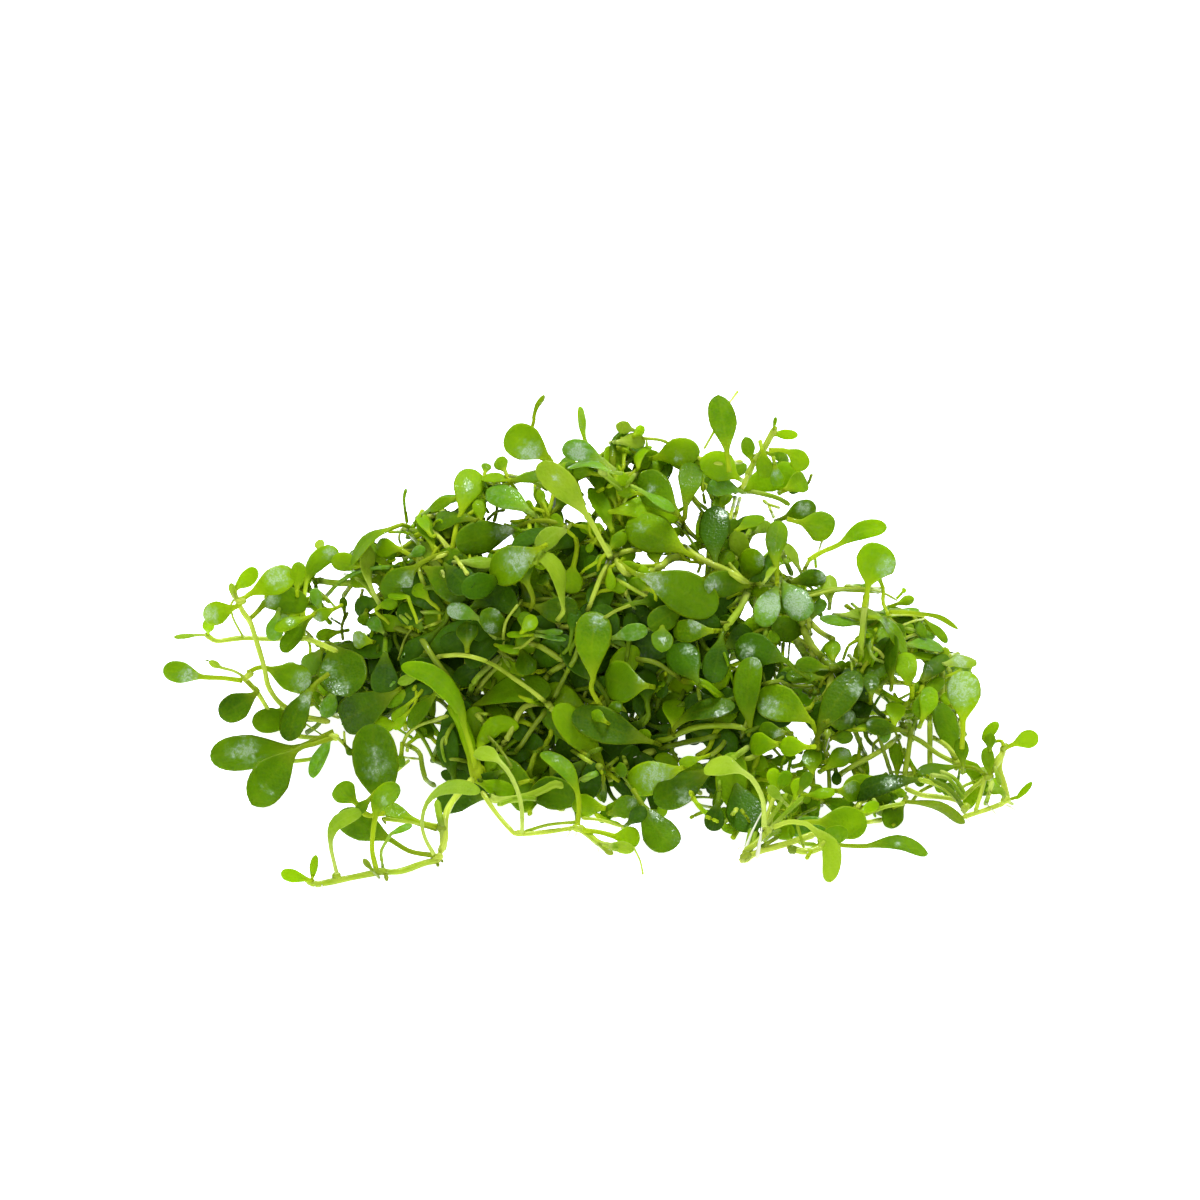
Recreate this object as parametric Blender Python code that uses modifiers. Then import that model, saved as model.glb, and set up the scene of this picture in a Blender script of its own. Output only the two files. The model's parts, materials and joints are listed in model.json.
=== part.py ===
"""A loose heap of Glossostigma elatinoides: creeping runners with paired spoon-shaped leaves.

The heap lies on a table. Its runners and leaves that stand clear of the heap are solids of their
own. The packed middle of the heap is a mound of foliage tufts, parted by narrow gaps.

Frame: metres, +Z up, X along the heap's length, Y towards its back. The origin lies on the table
under the middle of the heap. Runners and leaves are placed as they are seen from the front: a
point is (x, y, back), with x and y in the picture's 1200 x 1200 frame and back in millimetres.
"""
import math
from typing import NamedTuple

import bmesh
import bpy
from mathutils import Matrix, Vector, noise

MM = 0.001
OBJECT_NAME = "glossostigma_heap"

# The viewpoint that the picture's places refer to
PIXELS_PER_MM = 12.0
FRAME_CENTRE_PX = 600.0
VIEW_ELEVATION = math.radians(22.0)
VIEW_DISTANCE_MM = 600.0
AIM_HEIGHT_MM = 13.5

# Runners: creeping stems, jointed where leaves and roots grow
RUNNER_RADIUS_MM = 0.32
THIN_RUNNER_RADIUS_MM = 0.24
RUNNER_STEP_MM = 1.7
RUNNER_BEVEL_RESOLUTION = 1
LYING_HEIGHT_MM = 0.42

# Leaves: a stalk that widens into a spoon-shaped blade
BLADE_THICKNESS_MM = 0.30
STALK_WIDTH_MM = 0.42
STALK_STATIONS = 4
BLADE_STATIONS = 6
WIDEST_AT = 0.58
TIP_STATION = 0.985
CUP_DEPTH = 0.10

# Foliage tufts: cells of the mound's packed middle
TUFT_GAP_MM = 0.3
TUFT_EDGE_HEIGHT_MM = 1.2
TUFT_DIVISIONS = 7
SHOULDER = 0.8
LUMP_SPACING_MM = 3.6
LUMP_SHARE = 0.11


class Runner(NamedTuple):
    """One creeping stem and the points that it passes through."""

    name: str
    route: tuple
    radius_mm: float = RUNNER_RADIUS_MM


class Leaf(NamedTuple):
    """One leaf: its stalk's and its blade's middle line, its width and its turn about that line."""

    name: str
    stalk: tuple
    blade: tuple
    width_mm: float
    roll_deg: float = 0.0
    finish: str = "leaf_green"


class Station(NamedTuple):
    """The mound's outline across the heap at one place along it, in millimetres."""

    x: float
    front: float
    ridge: float
    back: float
    height: float


class Tuft(NamedTuple):
    """One cell of the mound, from one station to the next, on one side of the ridge or both."""

    name: str
    start: Station
    end: Station
    side: str


# A back value of None means that the point lies on the table.
LYING = None

RUNNERS = (
    Runner("runner_left_top", (
        (334, 650, -2.5), (303, 638, -2.6), (270, 639, -2.8), (243, 638, -3.2), (217, 641, -3.6),
        (208, 636, -3.8))),
    Runner("runner_left_upper", (
        (233, 588, -6.2), (236, 598, -6.1), (243, 612, -5.8), (250, 622, -5.6), (256, 640, -5.3),
        (264, 667, -5.0), (269, 688, -4.6), (283, 706, -3.8), (303, 716, -3.0), (326, 721, -2.6))),
    Runner("runner_left_lower", (
        (244, 679, -7.0), (257, 692, -6.6), (266, 706, -6.1), (278, 725, -5.2), (298, 736, -4.2),
        (333, 738, -3.2)), THIN_RUNNER_RADIUS_MM),
    Runner("runner_front_left", (
        (309, 881, LYING), (316, 884, LYING), (338, 880, LYING), (358, 876, LYING),
        (379, 872, LYING), (400, 871, LYING), (424, 863, LYING), (437, 860, LYING))),
    Runner("runner_front_left_rise", (
        (441, 850, -23.4), (445, 838, -23.2), (445, 828, -22.6), (447, 811, -20.4),
        (458, 794, -17.2), (470, 782, -13.6))),
    Runner("runner_front_left_branch", (
        (437, 826, -22.2), (422, 823, -21.9), (403, 821, -21.7), (386, 819, -21.5)),
        THIN_RUNNER_RADIUS_MM),
    Runner("runner_front_middle", (
        (484, 795, -13.9), (491, 806, -15.3), (500, 818, -17.0), (510, 829, LYING),
        (518, 834, LYING), (545, 832, LYING), (574, 828, LYING)), THIN_RUNNER_RADIUS_MM),
    Runner("runner_front_middle_end", (
        (582, 830, LYING), (590, 836, LYING), (599, 843, LYING), (614, 847, LYING))),
    Runner("runner_cut_end", (
        (743, 860, LYING), (760, 851, LYING), (785, 844, LYING), (812, 835, -18.9))),
    Runner("runner_cut_side", (
        (746, 851, -23.0), (757, 842, -22.0), (768, 830, -21.0), (770, 816, -20.0))),
    Runner("runner_front_fork", (
        (791, 848, LYING), (797, 850, LYING), (808, 852, LYING), (822, 847, LYING))),
    Runner("runner_right_low", (
        (966, 816, LYING), (985, 810, LYING), (1001, 804, LYING)), THIN_RUNNER_RADIUS_MM),
    Runner("runner_right_rise", (
        (1007, 797, -11.6), (1003, 782, -11.0), (999, 768, -10.6), (1003, 751, -10.0))),
    Runner("runner_right_inner", (
        (988, 777, -11.6), (975, 786, -12.2), (963, 797, -13.0)), THIN_RUNNER_RADIUS_MM),
    Runner("runner_right_back", (
        (963, 808, -15.2), (955, 797, -15.4), (940, 786, -15.5), (922, 780, -15.8)),
        THIN_RUNNER_RADIUS_MM),
    Runner("runner_top_sprig", (
        (748, 475, 2.4), (754, 462, 2.8), (763, 450, 3.1), (770, 437, 3.4), (774, 430, 3.5)),
        THIN_RUNNER_RADIUS_MM),
)

LEAVES = (
    Leaf("leaf_far_left", ((238, 680, -7.6), (222, 678, -7.8)),
         ((203, 677, -7.9), (183, 673, -8.2), (163, 669, -8.5)), 1.8, 12.0, "leaf_bright"),
    Leaf("leaf_left_upper", ((251, 671, -3.6), (257, 668, -3.4)),
         ((266, 668, -3.3), (288, 676, -3.0), (311, 682, -2.8)), 2.4, 15.0),
    Leaf("leaf_left_middle", ((250, 684, -8.1), (253, 687, -8.4)),
         ((257, 692, -8.7), (239, 705, -9.6), (220, 717, -10.4)), 2.3, 10.0),
    Leaf("leaf_left_hanging", ((326, 676, -3.6), (319, 681, -4.2)),
         ((314, 686, -4.8), (297, 712, -6.8), (288, 741, -8.5)), 2.3, 38.0),
    Leaf("leaf_left_large", ((330, 733, -5.0), (312, 741, -5.8)),
         ((297, 747, -6.6), (256, 752, -8.0), (210, 756, -9.3)), 3.0, 5.0),
    Leaf("leaf_left_pale", ((332, 738, -6.6), (314, 744, -7.6)),
         ((297, 750, -8.6), (270, 778, -11.0), (252, 805, -13.4)), 3.2, 5.0, "leaf_bright"),
    Leaf("leaf_left_round", ((241, 603, -7.0), (238, 605, -7.1)),
         ((235, 607, -7.2), (219, 612, -7.6), (203, 616, -8.0)), 1.95, 10.0),
    Leaf("leaf_left_glossy", ((241, 599, -5.0), (246, 597, -4.7)),
         ((250, 594, -4.4), (272, 583, -3.6), (294, 572, -2.8)), 2.3, 10.0),
    Leaf("leaf_front_left_low", ((431, 855, -24.2), (412, 852, -23.9), (400, 846, -23.7)),
         ((391, 840, -23.6), (364, 827, -23.2), (337, 815, -22.8)), 2.5, 8.0),
    Leaf("leaf_front_left_folded", ((336, 870, -28.2), (333, 858, -28.2), (330, 842, -28.0)),
         ((333, 828, -27.6), (345, 819, -26.8), (362, 811, -25.8)), 1.6, 50.0, "leaf_pale"),
    Leaf("leaf_front_left_upright", ((375, 864, -26.6), (372, 850, -26.3), (373, 832, -26.0)),
         ((375, 820, -25.8), (380, 802, -25.4), (399, 785, -24.8)), 2.2, 42.0),
    Leaf("leaf_front_left_arched", ((432, 851, -25.0), (425, 840, -25.0), (422, 822, -24.6),
                                    (427, 800, -23.6)),
         ((441, 786, -22.0), (460, 786, -20.4), (480, 792, -18.8)), 1.9, 48.0, "leaf_pale"),
    Leaf("leaf_front_left_lobed", ((380, 814, -23.6), (366, 815, -24.9)),
         ((356, 803, -25.0), (346, 794, -25.1), (337, 785, -25.3)), 2.0, 5.0),
    Leaf("leaf_front_middle_arched", ((522, 828, -18.9), (522, 812, -18.6), (519, 795, -17.9),
                                      (511, 776, -16.8)),
         ((500, 762, -15.4), (488, 755, -14.2), (475, 751, -12.9)), 1.8, 45.0, "leaf_pale"),
    Leaf("leaf_front_middle_bright", ((578, 821, -19.0), (578, 805, -18.7), (576, 792, -18.2)),
         ((573, 783, -17.8), (563, 768, -16.8), (541, 753, -15.4)), 2.2, 25.0, "leaf_bright"),
    Leaf("leaf_front_hanging", ((630, 785, -15.6), (635, 794, -16.4)),
         ((641, 803, -17.2), (655, 827, -19.8), (673, 849, -22.9)), 2.85, 8.0),
    Leaf("leaf_front_right_curved", ((764, 823, -21.6), (764, 810, -21.8), (762, 797, -22.0),
                                     (755, 783, -21.9)),
         ((745, 773, -21.7), (724, 766, -21.0), (704, 769, -20.0)), 2.0, 42.0, "leaf_pale"),
    Leaf("leaf_front_right_tip", ((777, 826, -21.6), (788, 822, -21.9), (803, 823, -22.4)),
         ((816, 834, -23.6), (833, 860, -26.0), (830, 882, -28.0)), 2.0, 10.0, "leaf_pale"),
    Leaf("leaf_front_right_wide", ((800, 823, -20.2), (808, 822, -20.2)),
         ((817, 822, -20.1), (842, 822, -19.8), (867, 826, -19.4)), 2.7, 5.0, "leaf_pale"),
    Leaf("leaf_front_right_spear", ((822, 841, -20.6), (840, 845, -20.9), (856, 846, -21.0)),
         ((866, 846, -21.0), (900, 842, -21.4), (928, 854, -23.0)), 1.6, 40.0),
    Leaf("leaf_right_trailing", ((896, 806, -15.8), (903, 803, -15.9)),
         ((910, 802, -16.0), (940, 806, -16.2), (965, 823, -17.4)), 1.6, 45.0),
    Leaf("leaf_right_end", ((1008, 747, -10.6), (1010, 746, -10.7)),
         ((1012, 745, -10.8), (1024, 740, -11.0), (1038, 735, -11.2)), 1.6, 10.0),
    Leaf("leaf_right_glossy", ((962, 745, -12.3), (963, 733, -12.0)),
         ((963, 722, -11.7), (964, 697, -10.6), (962, 671, -9.4)), 2.85, 5.0),
    Leaf("leaf_right_narrow", ((894, 612, -7.0), (905, 612, -7.0)),
         ((915, 613, -7.0), (938, 617, -7.3), (958, 629, -7.8)), 1.5, 60.0),
    Leaf("leaf_upper_right_large", ((865, 603, -5.0), (867, 595, -4.9)),
         ((868, 587, -4.8), (874, 566, -4.3), (887, 547, -3.8)), 3.1, 5.0),
    Leaf("leaf_upper_right_spear", ((812, 558, -4.2), (826, 550, -4.1)),
         ((838, 545, -4.0), (862, 531, -3.8), (887, 527, -3.6)), 1.7, 35.0, "leaf_bright"),
    Leaf("leaf_top_tall", ((729, 468, 1.6), (728, 460, 1.5)),
         ((727, 452, 1.4), (724, 424, 1.0), (718, 395, 0.5)), 2.3, 10.0, "leaf_bright"),
    Leaf("leaf_top_right_round", ((773, 450, 2.6), (780, 450, 2.3)),
         ((786, 451, 2.0), (797, 457, 1.6), (805, 470, 1.0)), 1.7, 10.0, "leaf_bright"),
    Leaf("leaf_top_right_broad", ((791, 520, 0.4), (795, 521, 0.3)),
         ((799, 522, 0.2), (817, 525, -0.2), (833, 532, -0.8)), 2.6, 5.0, "leaf_bright"),
    Leaf("leaf_top_left_round", ((554, 470, -1.4), (552, 465, -1.3)),
         ((549, 459, -1.2), (530, 446, -1.4), (506, 433, -1.8)), 3.0, 5.0),
    Leaf("leaf_top_left_long", ((608, 553, -7.6), (598, 535, -6.8)),
         ((588, 517, -6.0), (566, 489, -4.6), (538, 464, -3.2)), 2.3, 15.0, "leaf_pale"),
    Leaf("leaf_top_left_blade", ((533, 424, 1.6), (534, 420, 1.6)),
         ((534, 416, 1.6), (537, 406, 1.6), (544, 395, 1.5)), 1.3, 60.0),
    Leaf("leaf_top_narrow", ((588, 448, 1.4), (587, 444, 1.4)),
         ((585, 440, 1.4), (581, 424, 1.2), (579, 407, 1.0)), 1.3, 42.0, "leaf_bright"),
    Leaf("leaf_top_glossy", ((612, 468, -1.6), (607, 464, -1.5)),
         ((602, 460, -1.4), (583, 451, -1.6), (562, 449, -2.0)), 1.8, 15.0),
)

WEST_END = Station(-27.5, 0.8, 5.5, 11.0, 12.0)
WEST_HALF = Station(-21.2, -0.4, 5.0, 15.0, 17.0)
WEST = Station(-21.2, -5.0, 4.0, 15.0, 17.0)
WEST_MIDDLE = Station(-8.5, -9.8, 4.0, 19.0, 24.0)
MIDDLE = Station(3.5, -12.5, 4.0, 20.5, 25.0)
EAST_MIDDLE = Station(12.5, -15.5, 4.0, 19.5, 21.4)
EAST = Station(21.5, -17.0, 1.5, 15.5, 15.0)
EAST_END = Station(32.0, -11.0, -2.0, 5.0, 8.0)

TUFTS = (
    Tuft("tuft_west_end", WEST_END, WEST_HALF, "whole"),
    Tuft("tuft_west_front", WEST, WEST_MIDDLE, "front"),
    Tuft("tuft_west_back", WEST, WEST_MIDDLE, "back"),
    Tuft("tuft_middle_west_front", WEST_MIDDLE, MIDDLE, "front"),
    Tuft("tuft_middle_west_back", WEST_MIDDLE, MIDDLE, "back"),
    Tuft("tuft_middle_east_front", MIDDLE, EAST_MIDDLE, "front"),
    Tuft("tuft_middle_east_back", MIDDLE, EAST_MIDDLE, "back"),
    Tuft("tuft_east_front", EAST_MIDDLE, EAST, "front"),
    Tuft("tuft_east_back", EAST_MIDDLE, EAST, "back"),
    Tuft("tuft_east_end", EAST, EAST_END, "whole"),
)

# Principled colour (linear), roughness and metallic value of each finish
FINISHES = {
    "leaf_green": ((0.060, 0.230, 0.010, 1.0), 0.35, 0.0),
    "leaf_bright": ((0.200, 0.480, 0.014, 1.0), 0.38, 0.0),
    "leaf_pale": ((0.320, 0.500, 0.070, 1.0), 0.55, 0.0),
    "runner_green": ((0.430, 0.520, 0.080, 1.0), 0.40, 0.0),
    "foliage": ((0.040, 0.150, 0.008, 1.0), 0.60, 0.0),
}


def clear_scene():
    """Remove every object, so that the script can be run again in an open file."""
    for obj in list(bpy.data.objects):
        bpy.data.objects.remove(obj, do_unlink=True)


def make_finish(name):
    """Return the Principled material of a named finish."""
    colour, roughness, metallic = FINISHES[name]
    material = bpy.data.materials.new(name)
    material.use_nodes = True
    shader = material.node_tree.nodes["Principled BSDF"]
    shader.inputs["Base Color"].default_value = colour
    shader.inputs["Roughness"].default_value = roughness
    shader.inputs["Metallic"].default_value = metallic
    return material


def seen_at(point):
    """Return the place, in metres, of a point given as it is seen from the front."""
    x_px, y_px, back = point
    focal_px = PIXELS_PER_MM * VIEW_DISTANCE_MM
    across = (x_px - FRAME_CENTRE_PX) / focal_px
    up = (FRAME_CENTRE_PX - y_px) / focal_px
    cosine = math.cos(VIEW_ELEVATION)
    sine = math.sin(VIEW_ELEVATION)
    if back is LYING:
        height = LYING_HEIGHT_MM - AIM_HEIGHT_MM
        back = (up * (VIEW_DISTANCE_MM - height * sine) - height * cosine) / (sine - up * cosine)
    else:
        height = up * (VIEW_DISTANCE_MM + back * cosine) - back * sine
        height /= cosine + up * sine
    distance = VIEW_DISTANCE_MM + back * cosine - height * sine
    return Vector((across * distance, back, height + AIM_HEIGHT_MM)) * MM


def smooth_line(points, count):
    """Return count + 1 places evenly spaced by parameter on a smooth curve through the points."""
    last = len(points) - 1
    line = []
    for index in range(count + 1):
        position = index / count * last
        start = min(int(position), last - 1)
        t = position - start
        before = points[max(start - 1, 0)]
        here = points[start]
        there = points[start + 1]
        after = points[min(start + 2, last)]
        bend = (before * 2 - here * 5 + there * 4 - after) * t * t
        twist = (here * 3 - before - there * 3 + after) * t * t * t
        line.append((here * 2 + (there - before) * t + bend + twist) / 2)
    return line


def length_of(points):
    """Return the length of a row of points."""
    return sum((b - a).length for a, b in zip(points, points[1:]))


def blade_half_width(part):
    """Return the blade's half width, as a share of its widest, at a share of its length."""
    if part > WIDEST_AT:
        beyond = (part - WIDEST_AT) / (1.0 - WIDEST_AT)
        return math.sqrt(max(0.0, 1.0 - beyond * beyond))
    rise = part / WIDEST_AT
    return rise * rise * (3.0 - 2.0 * rise)


def add_object(name, data, finish, collection):
    """Return a new object with its finish, linked to the heap's collection."""
    data.materials.append(finish)
    obj = bpy.data.objects.new(name, data)
    collection.objects.link(obj)
    return obj


def build_runner(runner, finish, collection):
    """Make one runner: a round stem along a smooth line through its points."""
    points = [seen_at(point) for point in runner.route]
    steps = max(2, round(length_of(points) / (RUNNER_STEP_MM * MM)))
    line = smooth_line(points, steps)
    curve = bpy.data.curves.new(runner.name, "CURVE")
    curve.dimensions = "3D"
    curve.bevel_depth = runner.radius_mm * MM
    curve.bevel_resolution = RUNNER_BEVEL_RESOLUTION
    curve.use_fill_caps = True
    spline = curve.splines.new("POLY")
    spline.points.add(len(line) - 1)
    for control, place in zip(spline.points, line):
        control.co = (*place, 1.0)
    return add_object(runner.name, curve, finish, collection)


def leaf_line(leaf):
    """Return the stations of a leaf's middle line and the half width at each, in metres."""
    stalk = [seen_at(point) for point in leaf.stalk]
    blade = [seen_at(point) for point in leaf.blade]
    places = smooth_line([*stalk, blade[0]], STALK_STATIONS)
    narrow = STALK_WIDTH_MM * MM / 2
    halves = [narrow] * (STALK_STATIONS + 1)
    fine_steps = 60
    fine = smooth_line(blade, fine_steps)
    for index in range(1, BLADE_STATIONS + 1):
        part = index / BLADE_STATIONS * TIP_STATION
        places.append(fine[round(part * fine_steps)])
        wide = leaf.width_mm * MM / 2 * blade_half_width(part)
        halves.append(max(narrow if part < WIDEST_AT else 0.0, wide))
    return places, halves


def build_leaf(leaf, finish, collection):
    """Make one leaf: a grid bent to the stalk and the blade, then given its thickness."""
    places, halves = leaf_line(leaf)
    along = len(places) - 1
    mesh = bpy.data.meshes.new(leaf.name)
    grid = bmesh.new()
    bmesh.ops.create_grid(grid, x_segments=along, y_segments=2, size=1.0)
    towards_eye = Vector((0.0, -math.cos(VIEW_ELEVATION), math.sin(VIEW_ELEVATION)))
    for vertex in grid.verts:
        station = round((vertex.co.x + 1.0) / 2.0 * along)
        across = vertex.co.y
        before = places[max(station - 1, 0)]
        after = places[min(station + 1, along)]
        tangent = (after - before).normalized()
        side = tangent.cross(towards_eye).normalized()
        side = Matrix.Rotation(math.radians(leaf.roll_deg), 3, tangent) @ side
        face = side.cross(tangent)
        half = halves[station]
        cup = CUP_DEPTH * 2 * half * (abs(across) - 1.0)
        vertex.co = places[station] + side * (across * half) + face * cup
    grid.to_mesh(mesh)
    grid.free()
    obj = add_object(leaf.name, mesh, finish, collection)
    thickness = obj.modifiers.new("blade_thickness", "SOLIDIFY")
    thickness.thickness = BLADE_THICKNESS_MM * MM
    thickness.offset = 0.0
    return obj


def blend(start, end, share):
    """Return the station at a share of the way from one station to another."""
    return Station(*(a + (b - a) * share for a, b in zip(start, end)))


def build_tuft(tuft, finish, collection):
    """Make one cell of the mound: a bulging grid, drawn down to a flat underside on the table."""
    mesh = bpy.data.meshes.new(tuft.name)
    grid = bmesh.new()
    bmesh.ops.create_grid(grid, x_segments=TUFT_DIVISIONS, y_segments=TUFT_DIVISIONS, size=1.0)
    inset = TUFT_GAP_MM / 2
    span = tuft.end.x - tuft.start.x
    for vertex in grid.verts:
        share = (vertex.co.x + 1.0) / 2.0
        share = (inset + share * (span - 2 * inset)) / span
        station = blend(tuft.start, tuft.end, share)
        low = station.ridge + inset if tuft.side == "back" else station.front
        high = station.ridge - inset if tuft.side == "front" else station.back
        y = low + (high - low) * (vertex.co.y + 1.0) / 2.0
        edge = station.front if y < station.ridge else station.back
        fall = (y - station.ridge) / (edge - station.ridge)
        rise = max(0.0, math.cos(fall * math.pi / 2)) ** SHOULDER
        lump = noise.noise(Vector((station.x, y, 0.0)) / LUMP_SPACING_MM)
        height = station.height * rise * (1.0 + LUMP_SHARE * lump)
        vertex.co = Vector((station.x, y, max(TUFT_EDGE_HEIGHT_MM, height))) * MM
    drawn = bmesh.ops.extrude_face_region(grid, geom=list(grid.faces))["geom"]
    for corner in drawn:
        if isinstance(corner, bmesh.types.BMVert):
            corner.co.z = 0.0
    underside = [face for face in drawn if isinstance(face, bmesh.types.BMFace)]
    bmesh.ops.dissolve_faces(grid, faces=underside)
    bmesh.ops.recalc_face_normals(grid, faces=grid.faces)
    grid.to_mesh(mesh)
    grid.free()
    return add_object(tuft.name, mesh, finish, collection)


def main():
    """Build every runner, leaf and tuft of the heap."""
    clear_scene()
    collection = bpy.data.collections.new(OBJECT_NAME)
    bpy.context.scene.collection.children.link(collection)
    finishes = {name: make_finish(name) for name in FINISHES}
    for runner in RUNNERS:
        build_runner(runner, finishes["runner_green"], collection)
    for leaf in LEAVES:
        build_leaf(leaf, finishes[leaf.finish], collection)
    for tuft in TUFTS:
        build_tuft(tuft, finishes["foliage"], collection)


main()
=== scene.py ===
"""Glossostigma elatinoides: a loose, wet heap of the plant on a white table.

Creeping runners, jointed every few millimetres, bear pairs of spoon-shaped leaves and fine
white roots. Lengths are in millimetres until a mesh is made.
"""

import json
import logging
import math
from dataclasses import dataclass, field
from enum import Enum

import bpy
import numpy as np
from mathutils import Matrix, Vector
from mathutils.bvhtree import BVHTree

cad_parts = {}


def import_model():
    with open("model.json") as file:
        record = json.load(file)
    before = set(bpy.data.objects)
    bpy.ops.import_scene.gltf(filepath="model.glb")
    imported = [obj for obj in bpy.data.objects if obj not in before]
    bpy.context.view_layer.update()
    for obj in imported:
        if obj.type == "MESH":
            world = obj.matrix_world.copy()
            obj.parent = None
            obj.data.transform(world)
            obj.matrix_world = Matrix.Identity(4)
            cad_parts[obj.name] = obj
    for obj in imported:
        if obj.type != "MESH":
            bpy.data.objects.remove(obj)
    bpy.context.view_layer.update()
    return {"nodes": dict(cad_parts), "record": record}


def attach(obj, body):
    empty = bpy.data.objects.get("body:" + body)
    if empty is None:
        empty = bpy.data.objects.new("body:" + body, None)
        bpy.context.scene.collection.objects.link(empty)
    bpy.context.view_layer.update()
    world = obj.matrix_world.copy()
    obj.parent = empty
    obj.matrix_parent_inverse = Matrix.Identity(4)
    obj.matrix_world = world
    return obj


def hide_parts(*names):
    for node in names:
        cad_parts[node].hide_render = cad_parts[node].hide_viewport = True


Array = np.ndarray
MM = 0.001
LOG = logging.getLogger("glossostigma")

# What each point of a mesh says about itself, for the finishes; see Loft.
MARKS = ("along", "across", "under", "film", "tone")

# A spot of clear coat and painted sheen (a painted highlight) reaches this far out from its
# middle, in its radii, and is this full at most.
COAT_AND_SHEEN_REACH, COAT_AND_SHEEN_MOST = 1.35, 0.8


# Geometry helpers


def unit(vectors: Array) -> Array:
    """The vectors, or one vector, at length one."""
    return vectors / np.maximum(np.linalg.norm(vectors, axis=-1, keepdims=True), 1e-9)


def smooth_path(points: Array, count: int) -> Array:
    """A smooth curve through points, cut into even steps.

    Args:
        points: Two or more points, in order.
        count: How many points to return.

    Returns:
        The points of the curve.
    """
    points = np.asarray(points, float)
    ends = 2 * points[[0, -1]] - points[[1, -2]]
    held = np.vstack([ends[:1], points, ends[1:]])
    t = np.linspace(0, 1, 12 if len(points) < 12 else 4, endpoint=False)
    pull = 0.5 * np.stack(
        [-t + 2 * t**2 - t**3, 2 - 5 * t**2 + 3 * t**3, t + 4 * t**2 - 3 * t**3, t**3 - t**2], 1
    )
    spans = np.stack([held[i : i + len(points) - 1] for i in range(4)], 1)
    dense = np.vstack([(pull @ spans).reshape(-1, points.shape[1]), points[-1:]])
    steps = np.diff(dense, axis=0)
    run = np.r_[0, np.cumsum(np.sqrt((steps * steps).sum(1)))]
    marks = np.linspace(0, run[-1], count)
    return np.stack([np.interp(marks, run, column) for column in dense.T], 1)


def evened(values: Array, passes: int) -> Array:
    """The values with each drawn towards its neighbours, ends kept."""
    values = np.array(values, float)
    for _ in range(passes):
        values[1:-1] = (values[:-2] + 2 * values[1:-1] + values[2:]) / 4
    return values


def strides(path: Array) -> Array:
    """The distance from each point of a path to the next."""
    return np.linalg.norm(np.diff(path, axis=0), axis=1)


def travelled(path: Array) -> Array:
    """How far along a path each of its points is."""
    return np.r_[0, np.cumsum(strides(path))]


def film_at(away: Array) -> Array:
    """How full a spot of clear coat and painted sheen is at distances from its middle, in its radii."""
    return np.clip(COAT_AND_SHEEN_REACH - away, 0, COAT_AND_SHEEN_MOST)


def put_in_scene(name: str, data: bpy.types.ID) -> bpy.types.Object:
    """Makes an object and puts it in the scene.

    Args:
        name: Its name.
        data: Its mesh, light or camera.

    Returns:
        The object.
    """
    made = bpy.data.objects.new(name, data)
    bpy.context.scene.collection.objects.link(made)
    return made


@dataclass(frozen=True)
class Photograph:
    """The place that the heap is seen from.

    Attributes:
        distance: From the eye to the point aimed at.
        pitch: How far the eye looks down, in radians.
        aim_height: Height of the point aimed at, over the table.
        focal: Focal length in pixels of a 1200-pixel picture.
        middle: The picture's middle pixel.
    """

    distance: float = 600.0
    pitch: float = math.radians(22.0)
    aim_height: float = 13.5
    focal: float = 7200.0
    middle: float = 600.0

    PIXELS_PER_MM = 12

    @property
    def forward(self) -> Array:
        """The direction of sight."""
        return np.array([0, math.cos(self.pitch), -math.sin(self.pitch)])

    @property
    def upward(self) -> Array:
        """The picture's upward direction."""
        return np.array([0, math.sin(self.pitch), math.cos(self.pitch)])

    @property
    def eye(self) -> Array:
        """The place of the eye."""
        return np.array([0, 0, self.aim_height]) - self.distance * self.forward

    def rays(self, pixels: Array) -> Array:
        """Directions through pixels, each one long in the direction of sight."""
        aside = (pixels[..., :1] - self.middle) / self.focal
        above = (self.middle - pixels[..., 1:2]) / self.focal
        return self.forward + aside * np.array([1.0, 0, 0]) + above * self.upward

    def place(self, pixels: Array, depth: Array) -> Array:
        """The points seen at pixels, at depths along the direction of sight."""
        return self.eye + self.rays(pixels) * np.asarray(depth)[..., None]

    def depth_of(self, point: Vector) -> float:
        """The depth of a point along the direction of sight."""
        return float((np.array(point) - self.eye) @ self.forward)

    def depth_at_back(self, pixel: Array, back: float) -> float:
        """The depth where the ray through a pixel is that far back."""
        return float((back - self.eye[1]) / self.rays(np.asarray(pixel, float))[1])

    def depth_at_height(self, pixel: Array, height: float) -> float:
        """The depth where the ray through a pixel is that high."""
        return float((height - self.eye[2]) / self.rays(np.asarray(pixel, float))[2])

    def project(self, points: Array) -> tuple[Array, Array]:
        """Pixels and depths of points.

        Args:
            points: Points in space.

        Returns:
            Their pixels, and their depths along the direction of sight.
        """
        seen = points - self.eye
        depth = seen @ self.forward
        x = self.middle + self.focal * seen[..., 0] / depth
        y = self.middle - self.focal * (seen @ self.upward) / depth
        return np.stack([x, y], -1), depth


class Tissue(Enum):
    """The kinds of plant tissue, each with a finish of its own."""

    SHADED = "h"
    DEEP = "d"
    GREEN = "g"
    BRIGHT = "b"
    PALE = "p"
    OLIVE = "o"
    SILVER = "s"
    RUNNER = "r"
    TAN = "t"
    ROOT = "w"


@dataclass
class Loft:
    """Rings of points joined in one closed skin.

    Attributes:
        rings: Points, by ring and by place round the ring.
        along: Share of the way from the first ring to the last.
        across: Place across each point's ring, from -1 to 1.
        under: One on the underside, zero on the upper side.
        tissue: What it is made of.
        tone: Light or dark plant, from 0 to 1.
        film: How much clear coat and painted sheen, a painted highlight, stands on each
            point, from 0 to 1.
    """

    rings: Array
    along: Array
    across: Array
    under: Array
    tissue: Tissue
    tone: float = 0.5
    film: Array | None = None


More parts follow.
